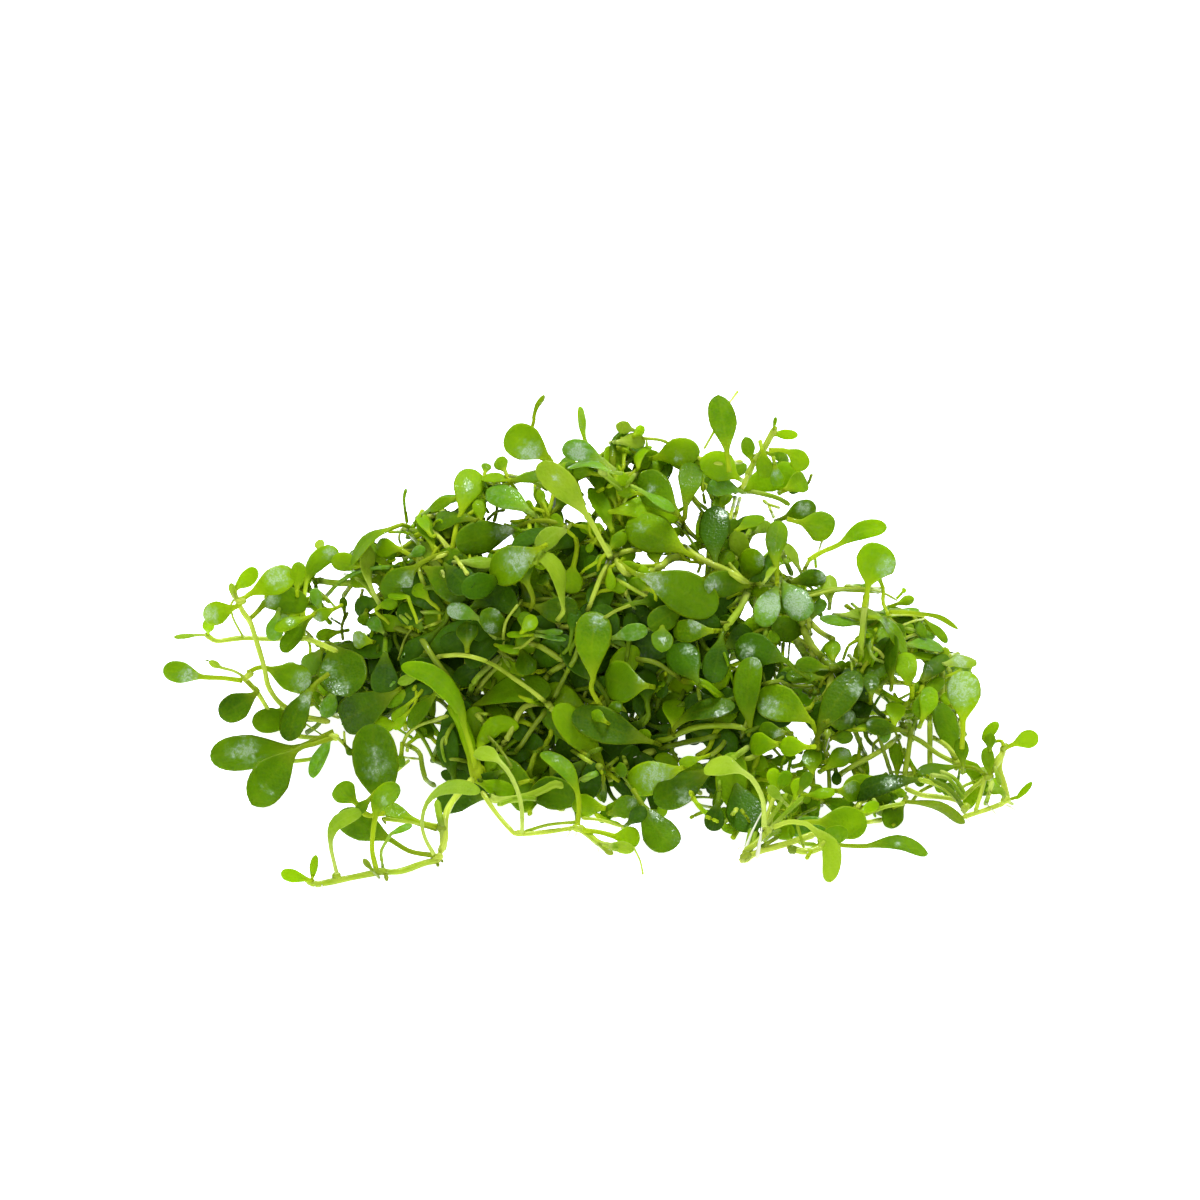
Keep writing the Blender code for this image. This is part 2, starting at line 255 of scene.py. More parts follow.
class PieceMesh:
    """One visible piece in the making: lofts joined in one mesh."""

    def __init__(self, name: str) -> None:
        """An empty piece with its name."""
        self.name = name
        self.points: list[Array] = []
        self.faces: list[tuple[int, ...]] = []
        self.tissues: list[Tissue] = []
        self.marks: list[Array] = []
        self.count = 0

    def add(self, loft: Loft) -> None:
        """Joins a loft on, with both its ends closed.

        Args:
            loft: The rings of points and what they are made of.
        """
        rings, around = loft.rings.shape[:2]
        grid = np.arange(rings * around).reshape(rings, around) + self.count
        after = np.roll(grid, -1, axis=1)
        quads = np.stack([grid[:-1], after[:-1], after[1:], grid[1:]], -1).reshape(-1, 4)
        first = self.count + rings * around
        starts = [(first, b, a) for a, b in zip(grid[0], after[0])]
        ends = [(first + 1, a, b) for a, b in zip(grid[-1], after[-1])]
        made = list(map(tuple, quads.tolist())) + starts + ends
        self.faces += made
        self.tissues += [loft.tissue] * len(made)
        ends_at = np.array([loft.rings[0].mean(0), loft.rings[-1].mean(0)])
        self.points.append(np.vstack([loft.rings.reshape(-1, 3), ends_at]))
        film = np.zeros((rings, around)) if loft.film is None else loft.film
        tone = np.full((rings, around), loft.tone)
        marks = np.stack([loft.along, loft.across, loft.under, film, tone], -1)
        close = marks[[0, -1]].mean(1)
        self.marks.append(np.vstack([marks.reshape(-1, len(MARKS)), close]))
        self.count += rings * around + 2

    def build(self, finishes: "Finishes") -> bpy.types.Object:
        """Makes the mesh object.

        Args:
            finishes: The materials, by tissue.

        Returns:
            The object, in the scene.
        """
        used = sorted(set(self.tissues), key=lambda tissue: tissue.value)
        mesh = bpy.data.meshes.new(self.name)
        mesh.from_pydata((np.vstack(self.points) * MM).tolist(), [], self.faces)
        for tissue in used:
            mesh.materials.append(finishes.material(tissue))
        slots = {tissue: i for i, tissue in enumerate(used)}
        mesh.polygons.foreach_set("material_index", [slots[t] for t in self.tissues])
        mesh.polygons.foreach_set("use_smooth", [True] * len(self.faces))
        for mark, values in zip(MARKS, np.vstack(self.marks).T):
            layer = mesh.attributes.new(mark, "FLOAT", "POINT")
            layer.data.foreach_set("value", values.astype(np.float32))
        mesh.update()
        return put_in_scene(self.name, mesh)


# The parts of the plant


@dataclass
class Leaf:
    """A spoon-shaped leaf: a slender stalk that widens into a thin, fleshy blade.

    Attributes:
        spine: Points from the joint to the tip.
        neck: Share of the spine where the blade begins.
        width: The blade's full width.
        facing: The way that the upper side faces.
        tissue: The blade's tissue.
        tone: Light or dark plant, from 0 to 1.
        cup: How far the rims rise (or sink, below zero), as a share of the half width.
        wave: How far the rims ripple, as a share of the half width.
        twist: Turn from neck to tip, in radians.
        stalk: Half the stalk's width.
        stations: Rings along the whole leaf.
        around: Points round each ring.
        phase: Where the ripple of the rims begins, in radians.
    """

    spine: Array
    neck: float
    width: float
    facing: Array
    tissue: Tissue = Tissue.GREEN
    tone: float = 0.5
    cup: float = 0.1
    wave: float = 0.03
    twist: float = 0.0
    stalk: float = 0.23
    stations: int = 22
    around: int = 12
    phase: float = 0.0

    # Share of the rings that the blade has.
    BLADE_RINGS = 0.72
    # The blade's outline: an oval, widest past its middle, and drawn out towards the stalk.
    WIDEST, FULL, BLUNT = 1.36, 2.5, 0.51
    DRAWN_OUT, SPOON = 0.52, 0.54
    # Half thicknesses: of the blade, of its tip, and of the stalk as a share of its half width.
    BLADE_THICK, TIP, STALK_THICK = 0.145, 0.04, 0.8
    STALK_WAIST, RIM_THIN = 0.12, 0.45
    RIB_DEEP, RIB_WIDE, RIPPLES = 0.03, 0.3, 2.3
    # What the mark "along" says where the blade begins.
    BLADE_MARK = 0.25

    def _outline(self, s: Array) -> Array:
        """The blade's half width at shares of its length, as a share of the greatest."""
        oval = np.maximum(1 - np.abs(2 * s**self.WIDEST - 1) ** self.FULL, 0) ** self.BLUNT
        return oval * np.minimum(s / self.DRAWN_OUT, 1) ** self.SPOON

    def loft(self) -> Loft:
        """Builds the leaf.

        Returns:
            Its closed skin.
        """
        spine = smooth_path(self.spine, 64)
        blade_rings = max(8, int(self.stations * self.BLADE_RINGS))
        eased = (1 - np.cos(np.linspace(0.0, math.pi, blade_rings))) / 2
        stalk_part = np.linspace(0, self.neck, self.stations - blade_rings, endpoint=False)
        u = np.r_[stalk_part, self.neck + (1 - self.neck) * eased]
        u[-1] = 1.0
        at = np.linspace(0, 1, len(spine))
        centre = np.column_stack([np.interp(u, at, c) for c in spine.T])
        slope = np.gradient(spine, axis=0)
        heading = unit(np.column_stack([np.interp(u, at, c) for c in slope.T]))
        normal = unit(self.facing - (heading @ self.facing)[:, None] * heading)
        side = np.cross(heading, normal)
        s = np.clip((u - self.neck) / max(1 - self.neck, 1e-3), 0, 1)
        turn = self.twist * s
        side, normal = (
            side * np.cos(turn)[:, None] + normal * np.sin(turn)[:, None],
            normal * np.cos(turn)[:, None] - side * np.sin(turn)[:, None],
        )
        slender = min(self.stalk, 0.1 + 0.07 * self.width)
        on_stalk = u / max(self.neck, 0.02)
        stalk = slender * (1 - self.STALK_WAIST * np.sin(np.clip(on_stalk, 0, 1) * math.pi))
        fade = np.clip((s - 0.55) / 0.4, 0, 1)
        half = np.hypot(self._outline(s) * self.width / 2, stalk * (1 - fade))
        half[-1] = self.TIP
        blade = np.clip(s / 0.3, 0, 1)
        thick = (self.STALK_THICK * slender) * (1 - blade) + self.BLADE_THICK * blade
        thick = thick * np.clip((1 - s) / 0.12, 0.25, 1) ** 0.5
        angle = np.linspace(0, 2 * math.pi, self.around, endpoint=False)
        across, level = np.cos(angle), np.sin(angle)
        rim = across**2
        body = thick[:, None] * level * (1 - self.RIM_THIN * rim * blade[:, None])
        spread = (blade * half)[:, None]
        wavy = np.sin(self.RIPPLES * math.pi * s + self.phase)[:, None]
        hollow = (self.cup + self.wave * wavy * np.sign(across)) * rim * spread
        along_rib = (blade * (1 - s) ** 0.5)[:, None]
        rib = self.RIB_DEEP * along_rib * np.exp(-((across / self.RIB_WIDE) ** 2))
        lift = body + hollow - rib
        rings = (
            centre[:, None]
            + side[:, None] * (half[:, None] * across)[..., None]
            + normal[:, None] * lift[..., None]
        )
        on_blade = self.BLADE_MARK + (1 - self.BLADE_MARK) * s
        along = np.where(s > 0, on_blade, self.BLADE_MARK * on_stalk)[:, None]
        under = (level < -0.1).astype(float)
        marks = [np.broadcast_to(mark, lift.shape) for mark in (along, across, under)]
        return Loft(rings, *marks, self.tissue, self.tone)


@dataclass
class Strand:
    """A length of runner, stalk or root: a round stem, ridged and a little swollen at its ends.

    Attributes:
        spine: Points from end to end.
        radius: Half its thickness.
        tissue: What it is made of.
        tone: Light or dark plant, from 0 to 1.
        swell: How much thicker its ends are, as a share of the radius.
        taper: Share of the radius left at the far end.
        around: Points round each ring.
        step: Distance from ring to ring, in radii.
        phase: Where its ridges and bulges begin, in radians.
    """

    spine: Array
    radius: float
    tissue: Tissue = Tissue.RUNNER
    tone: float = 0.5
    swell: float = 0.12
    taper: float = 1.0
    around: int = 8
    step: float = 1.3
    phase: float = 0.0

    FEWEST, MOST = 5, 70
    # No strand runs this way, so a side can be told from it.
    GUIDE = (0.31, -0.23, 0.92)
    BULGE, BULGES_PER_MM = 0.05, 1.9
    RIDGE, RIDGES = 0.06, 3
    ROUNDED_END = 0.55

    def loft(self) -> Loft:
        """Builds the strand.

        Returns:
            Its closed skin.
        """
        length = strides(self.spine).sum()
        count = int(np.clip(length / (self.radius * self.step), self.FEWEST, self.MOST))
        centre = smooth_path(self.spine, count)
        heading = unit(np.gradient(centre, axis=0))
        side = unit(np.cross(heading, np.array(self.GUIDE)))
        normal = np.cross(side, heading)
        u = np.linspace(0, 1, count)
        reach = min(0.4, 1.6 * self.radius / max(length, 0.1) * 2)
        ends = np.exp(-((u / reach) ** 2)) + np.exp(-(((1 - u) / reach) ** 2)) * self.taper
        size = self.radius * (1 + (self.taper - 1) * u) * (1 + self.swell * ends)
        size = size * (1 + self.BULGE * np.sin(u * length * self.BULGES_PER_MM + self.phase))
        size[[0, -1]] *= self.ROUNDED_END
        angle = np.linspace(0, 2 * math.pi, self.around, endpoint=False)
        ridge = 1 + self.RIDGE * np.cos(self.RIDGES * angle + self.phase)
        across, level = np.cos(angle) * ridge, np.sin(angle) * ridge
        rings = centre[:, None] + size[:, None, None] * (
            side[:, None] * across[:, None] + normal[:, None] * level[:, None]
        )
        marks = [np.broadcast_to(mark, rings.shape[:2]) for mark in (u[:, None], across, 0.0)]
        return Loft(rings, *marks, self.tissue, self.tone)


# Where things lie


class Carriers:
    """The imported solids, which say how near to the viewer each visible piece lies."""

    # Sizes in pixels and in cells; the heap shows in these rows and columns of cells only.
    CELL = 4
    CELLS = 300
    ROWS, COLUMNS = range(95, 225), range(55, 260)
    SPREAD = 45
    EVENINGS = 3
    # A first guess at a depth, and how often it is made better.
    FIRST_DEPTH, GUESSES = 600.0, 5

    def __init__(self, nodes: dict[str, bpy.types.Object], photo: Photograph) -> None:
        """Reads the solids' skins.

        Args:
            nodes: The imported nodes, by name.
            photo: The place that the photograph was taken from.
        """
        self.photo = photo
        self.trees = {name: self._tree([node]) for name, node in nodes.items()}
        self.tufts = {name: tree for name, tree in self.trees.items() if name.startswith("tuft_")}
        self.mound = self._tree([nodes[name] for name in self.tufts])
        self.triangles = {name: self._corners(nodes[name]) for name in self.tufts}
        self.ground, self.solid = self._ground()

    @staticmethod
    def _corners(node: bpy.types.Object) -> Array:
        """The corners of a node's triangles, in millimetres."""
        mesh = node.data
        mesh.calc_loop_triangles()
        points = np.array([v.co for v in mesh.vertices]) / MM
        return points[np.array([triangle.vertices for triangle in mesh.loop_triangles])]

    @staticmethod
    def _tree(nodes: list[bpy.types.Object]) -> BVHTree:
        """The skins of some nodes, in millimetres, ready to be asked for their nearest points."""
        points, faces = [], []
        for node in nodes:
            start = len(points)
            points += [v.co / MM for v in node.data.vertices]
            faces += [tuple(start + i for i in p.vertices) for p in node.data.polygons]
        return BVHTree.FromPolygons(points, faces)

    def _ground(self) -> tuple[Array, Array]:
        """Depth of the mound at each cell of the picture, carried on past its outline.

        Returns:
            The depths, and which cells show the mound itself.
        """
        depth = np.zeros((self.CELLS, self.CELLS))
        eye = Vector(self.photo.eye)
        for i in self.ROWS:
            for j in self.COLUMNS:
                ray = self.photo.rays(np.array([(j + 0.5) * self.CELL, (i + 0.5) * self.CELL]))
                hit = self.mound.ray_cast(eye, Vector(ray))[0]
                if hit is not None:
                    depth[i, j] = self.photo.depth_of(hit)
        solid = depth > 0
        known = solid.copy()
        for _ in range(self.SPREAD):
            total, count = self._around(depth * known), self._around(known.astype(float))
            fresh = (~known) & (count > 0)
            depth[fresh] = total[fresh] / count[fresh]
            known |= fresh
        for _ in range(self.EVENINGS):
            count = np.maximum(self._around(known.astype(float)), 1)
            depth = (self._around(depth) / count + depth) / 2
        return np.where(known, depth, np.median(depth[solid])), solid

    @staticmethod
    def _around(values: Array) -> Array:
        """The sum of each cell's four neighbours."""
        held = np.pad(values, 1)
        return held[:-2, 1:-1] + held[2:, 1:-1] + held[1:-1, :-2] + held[1:-1, 2:]

    def ground_at(self, pixels: Array) -> Array:
        """The mound's depth at pixels."""
        cells = np.clip((pixels / self.CELL).astype(int), 0, self.CELLS - 1)
        return self.ground[cells[..., 1], cells[..., 0]]

    def on_node(self, name: str, pixel: Array, half: float) -> tuple[float, Array]:
        """Where a solid lies at a pixel, or nearest to it.

        Args:
            name: The solid's node.
            pixel: The pixel.
            half: Half the thickness of the solid there.

        Returns:
            The depth of the solid's middle, and the way its near side faces.
        """
        tree, eye = self.trees[name], Vector(self.photo.eye)
        hit, facing = tree.ray_cast(eye, Vector(self.photo.rays(pixel)))[:2]
        if hit is not None:
            return self.photo.depth_of(hit) + half, np.array(facing)
        depth = self.FIRST_DEPTH
        for _ in range(self.GUESSES):
            guess = Vector(self.photo.place(pixel, np.array(depth)))
            spot, facing = tree.find_nearest(guess)[:2]
            depth = self.photo.depth_of(spot)
        return depth, np.array(facing)

    def nearest_tuft(self, point: Array) -> tuple[str, float]:
        """The tuft nearest to a point, and how far away it is."""
        spots = {name: tree.find_nearest(Vector(point))[3] for name, tree in self.tufts.items()}
        name = min(spots, key=spots.get)
        return name, spots[name]


class Relief:
    """How near to the viewer the heap stands so far, cell by cell of the picture."""

    # Sizes in pixels and in cells; then the inside's depth under the mound's skin, and the
    # gap left between one leaf and the next.
    CELL = 2
    CELLS = 600
    DEEPEST = 5.5
    GAP = 0.22
    FEWEST_POINTS = 12

    def __init__(self, carriers: Carriers) -> None:
        """The heap with no leaf on it yet: its deep inside.

        Args:
            carriers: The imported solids.
        """
        self.carriers = carriers
        self.photo = carriers.photo
        scale = carriers.CELL // self.CELL
        finer = [
            np.repeat(np.repeat(cells, scale, 0), scale, 1)
            for cells in (carriers.ground + self.DEEPEST, carriers.solid)
        ]
        self.bottom = finer[0]
        self.near = np.where(finer[1], self.bottom, np.inf)

    def bare(self) -> Array:
        """The cells that nothing covers yet."""
        return self.near >= self.bottom - 0.1

    def cells(self, pixels: Array) -> tuple[Array, Array]:
        """Rows and columns of the cells at pixels."""
        found = np.clip((pixels / self.CELL).astype(int), 0, self.CELLS - 1)
        return found[..., 1], found[..., 0]

    def at(self, pixels: Array) -> Array:
        """The depths at pixels."""
        return self.near[self.cells(pixels)]

    def room(self, rings: Array, share: float = 12) -> float:
        """How far a skin can sink before it meets what lies there.

        Args:
            rings: Its points.
            share: Per cent of its points that may sink in further.

        Returns:
            The distance, below zero where it has to rise, or NaN over nothing.
        """
        pixels, depth = self.photo.project(self.dense(rings))
        gap = self.at(pixels) - depth
        gap = gap[np.isfinite(gap)]
        if len(gap) <= self.FEWEST_POINTS:
            return math.nan
        return float(np.percentile(gap, share)) - self.GAP

    def lay(self, rings: Array) -> None:
        """Adds a skin to the heap."""
        pixels, depth = self.photo.project(self.dense(rings))
        rows, columns = self.cells(pixels)
        np.minimum.at(self.near, (rows, columns), depth)

    @staticmethod
    def dense(rings: Array) -> Array:
        """The points of a skin with others between them."""
        steps = np.arange(3)[:, None, None, None] / 3
        longer = (rings[:-1] * (1 - steps) + rings[1:] * steps).reshape(-1, *rings.shape[1:])
        after = np.roll(longer, -1, axis=1)
        return (longer * (1 - steps) + after * steps).reshape(-1, 3)


# What the photograph shows


@dataclass
class Trace:
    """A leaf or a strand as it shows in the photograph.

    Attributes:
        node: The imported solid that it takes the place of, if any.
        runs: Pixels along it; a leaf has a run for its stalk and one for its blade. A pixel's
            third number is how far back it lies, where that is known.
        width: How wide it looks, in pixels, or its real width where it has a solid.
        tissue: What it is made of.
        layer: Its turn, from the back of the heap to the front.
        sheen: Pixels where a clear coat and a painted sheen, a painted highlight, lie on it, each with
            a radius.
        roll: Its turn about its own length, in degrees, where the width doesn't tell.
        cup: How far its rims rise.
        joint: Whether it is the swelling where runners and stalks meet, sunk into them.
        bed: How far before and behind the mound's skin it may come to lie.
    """

    node: str
    runs: list[Array]
    width: float
    tissue: Tissue
    layer: float
    sheen: list[Array] = field(default_factory=list)
    roll: float | None = None
    cup: float | None = None
    joint: bool = False
    bed: tuple[float, float] = (-2.8, 3.6)

    # A blade's usual shape, and its widest in millimetres.
    LENGTH_TO_WIDTH, WIDEST = 2.0, 4.2
    # A stem's real width, as a share of how wide it looks with the light round its edges.
    SLENDER = 0.84
    # How far a run goes on into its joint, in pixels.
    TO_JOINT = 4.0
    # Heights of what lies on the table: a runner and a root.
    HEIGHTS = {"L": 0.36, "F": 0.12}
    # Points along a blade in the heap, and the rings of it that have to find room.
    BLADE_POINTS, BLADE_RINGS = 9, 14
    # The point of a spine whose depth stands for the whole leaf's.
    ANCHOR = -5
    # How far a leaf may move from a depth that the tracing gives.
    NEAR_GIVEN = (-0.9, 0.9)
    # How far a stalk or strand goes under what covers its ends.
    TUCK = 0.35

    @classmethod
    def read(cls, line: str, photo: Photograph) -> "Trace":
        """Reads one line of a tracing.

        Args:
            line: Its node and a colon where it has a solid, then runs and words between bars.
                The words are width, tissue and layer; then sheen after a star, roll after an r,
                cup after a c, and a j for a joint.
            photo: The place that the photograph was taken from.

        Returns:
            The trace.
        """
        node, _, rest = line.rpartition(":")
        *runs, words = rest.split("|")
        width, tissue, layer, *others = words.split()
        marks = {other[0]: other[1:] for other in others if other[0] != "*"}
        points = [[cls.point(word, photo) for word in run.split()] for run in runs]
        return cls(
            node.strip(),
            [np.array(run).reshape(-1, 3) for run in points],
            float(width),
            Tissue(tissue),
            float(layer),
            [np.array(other[1:].split(","), float) for other in others if other[0] == "*"],
            float(marks["r"]) if "r" in marks else None,
            float(marks["c"]) if "c" in marks else None,
            "j" in marks,
        )

    @classmethod
    def point(cls, word: str, photo: Photograph) -> tuple[float, float, float]:
        """Reads one point of a run.

        Args:
            word: Its pixel, and where known how far back it lies or a letter of HEIGHTS.
            photo: The place that the photograph was taken from.

        Returns:
            The pixel and its depth, which is NaN where the tracing gives no distance.
        """
        x, y, *back = word.split(",")
        pixel = np.array([float(x), float(y)])
        if not back:
            depth = math.nan
        elif back[0] in cls.HEIGHTS:
            depth = photo.depth_at_height(pixel, cls.HEIGHTS[back[0]])
        else:
            depth = photo.depth_at_back(pixel, float(back[0]))
        return pixel[0], pixel[1], depth

    @property
    def chance(self) -> np.random.Generator:
        """Random numbers that belong to this trace alone."""
        first = [int(v) for v in self.runs[-1][0, :2]]
        return np.random.default_rng([*first, int(self.width * 10)])

    @property
    def is_leaf(self) -> bool:
        """Whether it is a leaf, which has a run more than a strand has."""
        return len(self.runs) > 1

    @property
    def stalk(self) -> Array:
        """The points of a leaf's stalk, none where the stalk doesn't show."""
        return self.runs[0] if self.is_leaf else np.empty((0, 3))

    def leaf(self, relief: Relief) -> Leaf:
        """The leaf, laid where the photograph shows it.

        Args:
            relief: The heap so far.

        Returns:
            The leaf.
        """
        chance = self.chance
        tone, wave = chance.uniform(0.25, 0.75), chance.uniform(0.0, 0.07)
        cup = chance.uniform(-0.16, 0.3) if self.cup is None else self.cup
        twist, phase = math.radians(chance.uniform(-14, 14)), chance.uniform(0, 6.28)
        arch = chance.uniform(0.01, 0.1)
        if self.node:
            spine, neck, facing = self._spine_of_node(relief.carriers)
            width = self.width
        else:
            spine, neck, facing, width = self._spine_in_heap(relief, arch)
        leaf = Leaf(spine, neck, width, facing, self.tissue, tone, cup, wave, twist, phase=phase)
        if not self.node:
            self._settle(leaf, relief)
        return leaf

    @classmethod
    def _beyond(cls, run: Array) -> Array:
        """The pixel in the joint that a run starts from."""
        return run[0] + cls.TO_JOINT * unit(run[0] - run[1])

    def _spine_of_node(self, carriers: Carriers) -> tuple[Array, float, Array]:
        """Points along the solid that it takes the place of.

        Args:
            carriers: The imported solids.

        Returns:
            The points, the share of them before the blade, and the way the blade faces.
        """
        name = f"leaf_{self.node}"
        stalk, blade = (run[:, :2] for run in self.runs)
        stalk = np.vstack([self._beyond(stalk), stalk])
        path = np.vstack([stalk, blade])
        depths = [carriers.on_node(name, pixel, 0.16)[0] for pixel in path]
        points = carriers.photo.place(path, evened(np.array(depths), 1))
        facings = [carriers.on_node(name, pixel, 0)[1] for pixel in blade[1:-1]]
        facing = unit(np.sum(facings, axis=0))
        if facing[2] < -0.2:
            facing = -facing
        spine = smooth_path(points, 40)
        start = np.argmin(np.linalg.norm(spine - points[len(stalk)], axis=1)) / (len(spine) - 1)
        return spine, float(start), facing

    def _lean(self, blade: Array, arch: float, carriers: Carriers) -> tuple[Array, float, float]:
        """How a blade of the heap leans: along the mound, and more where it looks too short.

        Args:
            blade: Pixels along it.
            arch: How far its middle stands out, as a share of its length.
            carriers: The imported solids.

        Returns:
            Its depth at each pixel, its width, and its turn about its own length.
        """
        s = np.linspace(0, 1, len(blade))
        given = self.runs[-1][:, 2]
        ground = carriers.ground_at(blade)
        if np.isfinite(given).all():
            ground = np.interp(s, np.linspace(0, 1, len(given)), given)
        lean, middle = np.polyfit(s - 0.5, ground, 1)
        scale = middle / carriers.photo.focal
        length = strides(blade).sum() * scale
        width = self.width * scale
        lean = float(np.clip(lean, -0.9 * length, 0.9 * length))
        wanted = self.LENGTH_TO_WIDTH * width
        if length < wanted and not np.isfinite(given).all():
            missing = 0.8 * math.sqrt(wanted**2 - length**2)
            lean = math.copysign(min(max(abs(lean), missing), 1.1 * length), lean)
        full = math.hypot(length, lean)
        share = self.LENGTH_TO_WIDTH * 1.12 * width / full
        roll = math.acos(min(max(share, 0.45), 1)) if self.roll is None else math.radians(self.roll)
        width = min(width / max(math.cos(roll), 0.3), self.WIDEST)
        return middle + lean * (s - 0.5) - arch * full * np.sin(math.pi * s), width, roll

    def _spine_in_heap(self, relief: Relief, arch: float) -> tuple[Array, float, Array, float]:
        """Points along a leaf of the heap, which follows the slope of the mound.

        Args:
            relief: The heap so far.
            arch: How far the blade's middle stands out, as a share of its length.

        Returns:
            The points, the share of them before the blade, the way the blade faces, and its width.
        """
        photo = relief.photo
        blade = smooth_path(self.runs[-1][:, :2], self.BLADE_POINTS)
        depth, width, roll = self._lean(blade, arch, relief.carriers)
        points = photo.place(blade, depth)
        heading = unit(points[-1] - points[0])
        towards = unit(-photo.forward + (photo.forward @ heading) * heading)
        aside = np.cross(heading, towards)
        turned = [towards * math.cos(roll) + way * aside * math.sin(roll) for way in (1, -1)]
        facing = turned[0] if self.roll is not None else max(turned, key=lambda v: v[2])
        if len(self.stalk):
            start = self.stalk[0, 2]
            if not np.isfinite(start):
                start = self._joint_depth(self.stalk[0, :2], depth[0], relief)
            path = smooth_path(np.vstack([self.stalk[:, :2], blade[:1]]), self.BLADE_POINTS)[:-1]
            depths = np.linspace(start, depth[0], self.BLADE_POINTS)[:-1]
            stalk_points = photo.place(path, depths)
        else:
            back = photo.forward * 0.92 - heading * 0.35
            stalk_points = points[0] + np.linspace(2.2, 0.3, 4)[:, None] * back
        spine = np.vstack([stalk_points, points])
        runs = travelled(spine)
        return spine, float(runs[len(stalk_points)] / runs[-1]), facing, width

    @classmethod
    def _joint_depth(cls, pixel: Array, neck: float, relief: Relief) -> float:
        """How deep a stalk starts: on what shows at its joint.

        Args:
            pixel: The joint's pixel.
            neck: The depth where the blade begins, for a joint with nothing behind it.
            relief: The heap so far.

        Returns:
            The depth.
        """
        near = float(relief.at(pixel))
        if not math.isfinite(near):
            return neck
        ground = float(relief.carriers.ground_at(pixel))
        return min(max(near + cls.TUCK, ground - 2.5), ground + 4.0)

    def _settle(self, leaf: Leaf, relief: Relief) -> None:
        """Moves a leaf along the line of sight until it lies on what is behind it.

        Args:
            leaf: The leaf, whose spine changes.
            relief: The heap so far.
        """
        room = relief.room(leaf.loft().rings[-self.BLADE_RINGS :])
        pixels, depth = relief.photo.project(leaf.spine)
        anchor = depth[self.ANCHOR]
        given = np.isfinite(self.runs[-1][:, 2]).all()
        base = anchor if given else relief.carriers.ground_at(pixels[self.ANCHOR])
        reach = self.NEAR_GIVEN if given else self.bed
        if math.isnan(room):
            room = 0.0
        sink = float(np.clip(anchor + room, base + reach[0], base + reach[1]) - anchor)
        if not len(self.stalk):
            leaf.spine = relief.photo.place(pixels, depth + sink)
            return
        place = np.arange(len(depth))
        first = int(leaf.neck * len(depth))
        moved = depth + sink * np.clip(place / max(first, 1), 0, 1)
        near = relief.at(pixels)
        held = np.where(np.isfinite(near), np.minimum(moved, near - leaf.stalk - 0.1), moved)
        held = np.maximum(held, moved - 2.6)
        on_stalk = np.clip(1 - (place - first + 3) / 3, 0, 1)
        moved = evened(moved * (1 - on_stalk) + held * on_stalk, 3)
        under = np.clip(near + leaf.stalk + 0.25 - moved, 0, 1.2)
        under = np.where(np.isfinite(near), under, 0)
        moved = moved + under * np.clip(1 - place / max(0.4 * first, 1), 0, 1)
        leaf.spine = relief.photo.place(pixels, moved)

    def strand(self, relief: Relief) -> Strand:
        """The strand, laid where the photograph shows it.

        Args:
            relief: The heap so far.

        Returns:
            The strand.
        """
        carriers, photo, chance = relief.carriers, relief.photo, self.chance
        run = self.runs[0]
        count = max(5, int(strides(run[:, :2]).sum() / 5))
        shown = run[:, :2]
        if self.node:
            shown = np.vstack([self._beyond(shown), shown, self._beyond(shown[::-1])])
        path = smooth_path(shown, count)
        radius = self.SLENDER * self.width / 2 * (1 if self.node else photo.distance / photo.focal)
        if self.joint:
            near = relief.at(path)
            near = np.where(np.isfinite(near), near, carriers.ground_at(path))
            depth = np.full(count, np.median(near) + 0.7 * radius)
        elif self.node:
            name = f"runner_{self.node}"
            depth = np.array([carriers.on_node(name, pixel, radius)[0] for pixel in path])
            depth = evened(depth, 2)
        elif np.isfinite(run[:, 2]).all():
            marks = travelled(run[:, :2])
            depth = np.interp(np.linspace(0, marks[-1], count), marks, run[:, 2])
        else:
            depth = self._draped(path, radius, relief)
        root = self.tissue is Tissue.ROOT
        return Strand(
            photo.place(path, depth),
            radius,
            self.tissue,
            chance.uniform(0.2, 0.8),
            swell=0.0 if root else 0.14,
            taper=0.35 if root else 1.0,
            around=6 if radius < 0.14 else 9,
            phase=chance.uniform(0, 6.28),
        )

    @classmethod
    def _draped(cls, path: Array, radius: float, relief: Relief) -> Array:
        """Depths of a strand that lies over the heap.

        Args:
            path: Its pixels.
            radius: Half its thickness.
            relief: The heap so far.

        Returns:
            Its depth at each pixel.
        """
        ground, near = relief.carriers.ground_at(path), relief.at(path)
        place = np.arange(len(path))
        known = np.isfinite(near)
        if not known.any():
            return ground
        depth = np.interp(place, place[known], near[known] - radius - 0.1)
        depth = evened(np.clip(depth, ground - 3.0, ground + 3.6), 6)
        over = (depth - (near - radius))[known]
        depth = depth - np.clip(np.percentile(over, 95), 0, 1.0)
        under = np.where(known, np.clip(near + radius + cls.TUCK - depth, 0, 2.4), 0)
        to_end = np.minimum(place, place[::-1])
        return depth + under * np.clip(1.2 - to_end / 1.8, 0, 1)

    def wet(self, loft: Loft, photo: Photograph) -> Loft:
        """Puts the clear coat and painted sheen (a painted highlight) that the tracing gives it on a loft.

        Args:
            loft: The leaf's or the strand's skin.
            photo: The place that the photograph was taken from.

        Returns:
            The same loft.
        """
        film = np.zeros(loft.rings.shape[:2])
        pixels = photo.project(loft.rings)[0]
        for x, y, radius in self.sheen:
            away = np.hypot(pixels[..., 0] - x, pixels[..., 1] - y) / radius
            film = np.maximum(film, film_at(away))
        loft.film = film * (1 - loft.under)
        return loft


# Finishes


def linear(colour: str) -> tuple[float, float, float, float]:
    """An sRGB hex colour as linear red, green and blue, and full alpha."""
    parts = [int(colour[i : i + 2], 16) / 255 for i in (1, 3, 5)]
    red, green, blue = (c / 12.92 if c <= 0.04045 else ((c + 0.055) / 1.055) ** 2.4 for c in parts)
    return red, green, blue, 1.0


